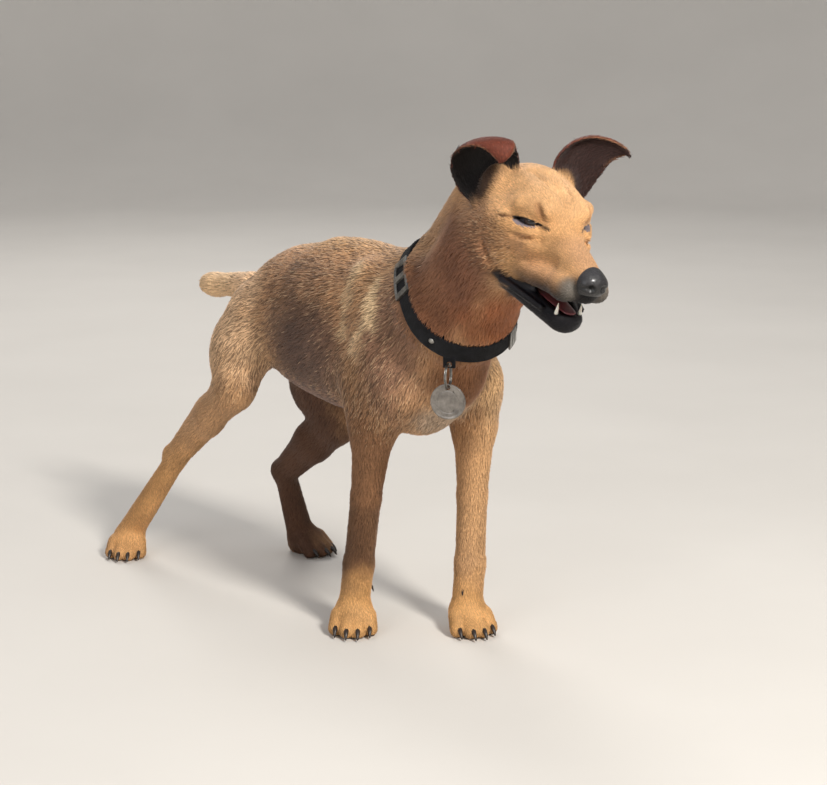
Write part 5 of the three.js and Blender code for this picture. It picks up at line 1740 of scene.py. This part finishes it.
def build_ring(metal):
    """A split ring: two turns of flattened wire side by side."""
    place = hanging(RING_DROP, RING_LEAN)
    rings, around = 200, 12
    turn = np.linspace(0, 4 * math.pi - 0.25, rings)[:, None]
    section = ring_angles(around)[None, :]
    wire = RING_WIRE * 0.5
    shift = mix(-wire, wire, ramp(0.42, 0.58, turn / (4 * math.pi)))
    r = RING_RADIUS + wire * np.cos(section) * 1.5
    side = shift + wire * np.sin(section) * 0.92
    points = np.stack([side, r * np.cos(turn), r * np.sin(turn)], -1)
    faces = loop_faces(rings, around, False)
    mesh = new_mesh("tag_split_ring", place.out(points).reshape(-1, 3), faces)
    close_poles(mesh, rings, around)
    piece(mesh, metal, ["tag_ring"])


def build_tag(metal):
    """A plain round tag: a raised rim, a shallow ring inside it and dents of wear."""
    rise = TAG_RADIUS - TAG_HOLE_INSET
    place = hanging(RING_DROP + RING_RADIUS + rise, RING_LEAN)

    def disc(p):
        q = place.inside(p)
        r = np.hypot(q[:, 0], q[:, 1])
        rim = 0.35 * ramp(TAG_RADIUS - 2.4, TAG_RADIUS - 1.6, r)
        groove = 0.22 * ramp(1.0, 0.3, np.abs(r - TAG_RADIUS * 0.62))
        half = TAG_THICKNESS / 2 + rim - groove - 0.1 + 0.05 * ripple(p, 5, 21)
        edge = r - TAG_RADIUS + 0.1 + 0.4 * (q[:, 2] / half) ** 4
        hole = np.hypot(q[:, 0], q[:, 1] - rise) - TAG_HOLE
        return carve(np.maximum(np.abs(q[:, 2]) - half, edge), hole, 0.5)

    reach = TAG_RADIUS + 3
    field_piece("tag_disc", disc, place.at - reach, place.at + reach, DETAIL_STEP, metal,
                ["tag"])


# --- Studio: pale floor that curves up far away, soft light, the camera ---
CAMERA_AZIMUTH, CAMERA_ELEVATION = -36.31, 11.99
CAMERA_DISTANCE = 1999.9
CAMERA_TARGET = V(0, -113.6, 242.0)
LENS = 88.53

FLOOR_FLAT, FLOOR_CURVE = 3.6, 1.6  # radius of the flat floor and of its upward curve, in metres
LIT_POINT = Vector((0, -0.05, 0.28))
LIGHTS = {  # place and size in metres, power in watts, colour
    "key": ((-0.1, -2.35, 2.15), 0.55, 98, (1.0, 0.965, 0.91)),
    "fill": ((-2.6, -0.9, 1.4), 1.6, 17, (0.94, 0.96, 1.0)),
    "back": ((0.9, 2.3, 2.4), 1.4, 36, (1.0, 0.98, 0.95)),
}


def build_floor():
    look = Surface("studio_floor", roughness=0.9, specular=0.1)
    look.paint(look.between(look.noise(3, 4), "c9c5bf", "d3cfc9"))
    look.relief(look.noise(60, 4), 0.06, 0.002)
    curve = [(FLOOR_FLAT + FLOOR_CURVE * math.sin(a), FLOOR_CURVE * (1 - math.cos(a)))
             for a in np.linspace(0.1, math.pi / 2, 14)]
    profile = [(0.01, 0.0), (2.0, 0.0), (FLOOR_FLAT, 0.0), *curve, (FLOOR_FLAT + FLOOR_CURVE, 4.0)]
    around = 96
    rings = [[(r * math.cos(a), r * math.sin(a), z) for a in ring_angles(around)]
             for r, z in profile]
    points = np.reshape(rings, (-1, 3)) / MM - SHIFT
    mesh = new_mesh("floor", points, loop_faces(len(rings), around, False))
    mesh.materials.append(look.material)
    in_scene("floor", mesh)


def build_lights():
    for name, (at, size, watts, tint) in LIGHTS.items():
        light = bpy.data.lights.new(name, "AREA")
        light.shape, light.size, light.energy, light.color = "DISK", size, watts, tint
        made = in_scene(name, light)
        made.location = at
        made.rotation_euler = (LIT_POINT - Vector(at)).to_track_quat("-Z", "Y").to_euler()
    world = bpy.data.worlds.new("studio")
    world.use_nodes = True
    sky = world.node_tree.nodes["Background"].inputs
    sky["Color"].default_value, sky["Strength"].default_value = (0.93, 0.95, 1.0, 1), 0.55
    bpy.context.scene.world = world
    bpy.context.scene.view_settings.view_transform = "Standard"


def build_camera():
    a, e = math.radians(CAMERA_AZIMUTH), math.radians(CAMERA_ELEVATION)
    back = V(math.sin(a) * math.cos(e), -math.cos(a) * math.cos(e), math.sin(e))
    camera = bpy.data.cameras.new("camera")
    camera.lens, camera.sensor_width, camera.clip_start = LENS, 36, 0.05
    made = in_scene("camera", camera)
    made.location = to_metres(CAMERA_TARGET + back * CAMERA_DISTANCE)
    made.rotation_euler = (-Vector(back)).to_track_quat("-Z", "Y").to_euler()
    bpy.context.scene.camera = made


# --- Everything in order ---
build_coat(*build_skin())
build_eyes()
build_nose()
finish_nodes()
build_strap()
steel = metal_look("steel", "6a6967", "a9a7a2", 0.3)
build_slides(steel)
build_rivet(steel)
build_ring(steel)
build_tag(metal_look("tag_metal", "7a7570", "a39d96", 0.38))
build_floor()
build_lights()
build_camera()
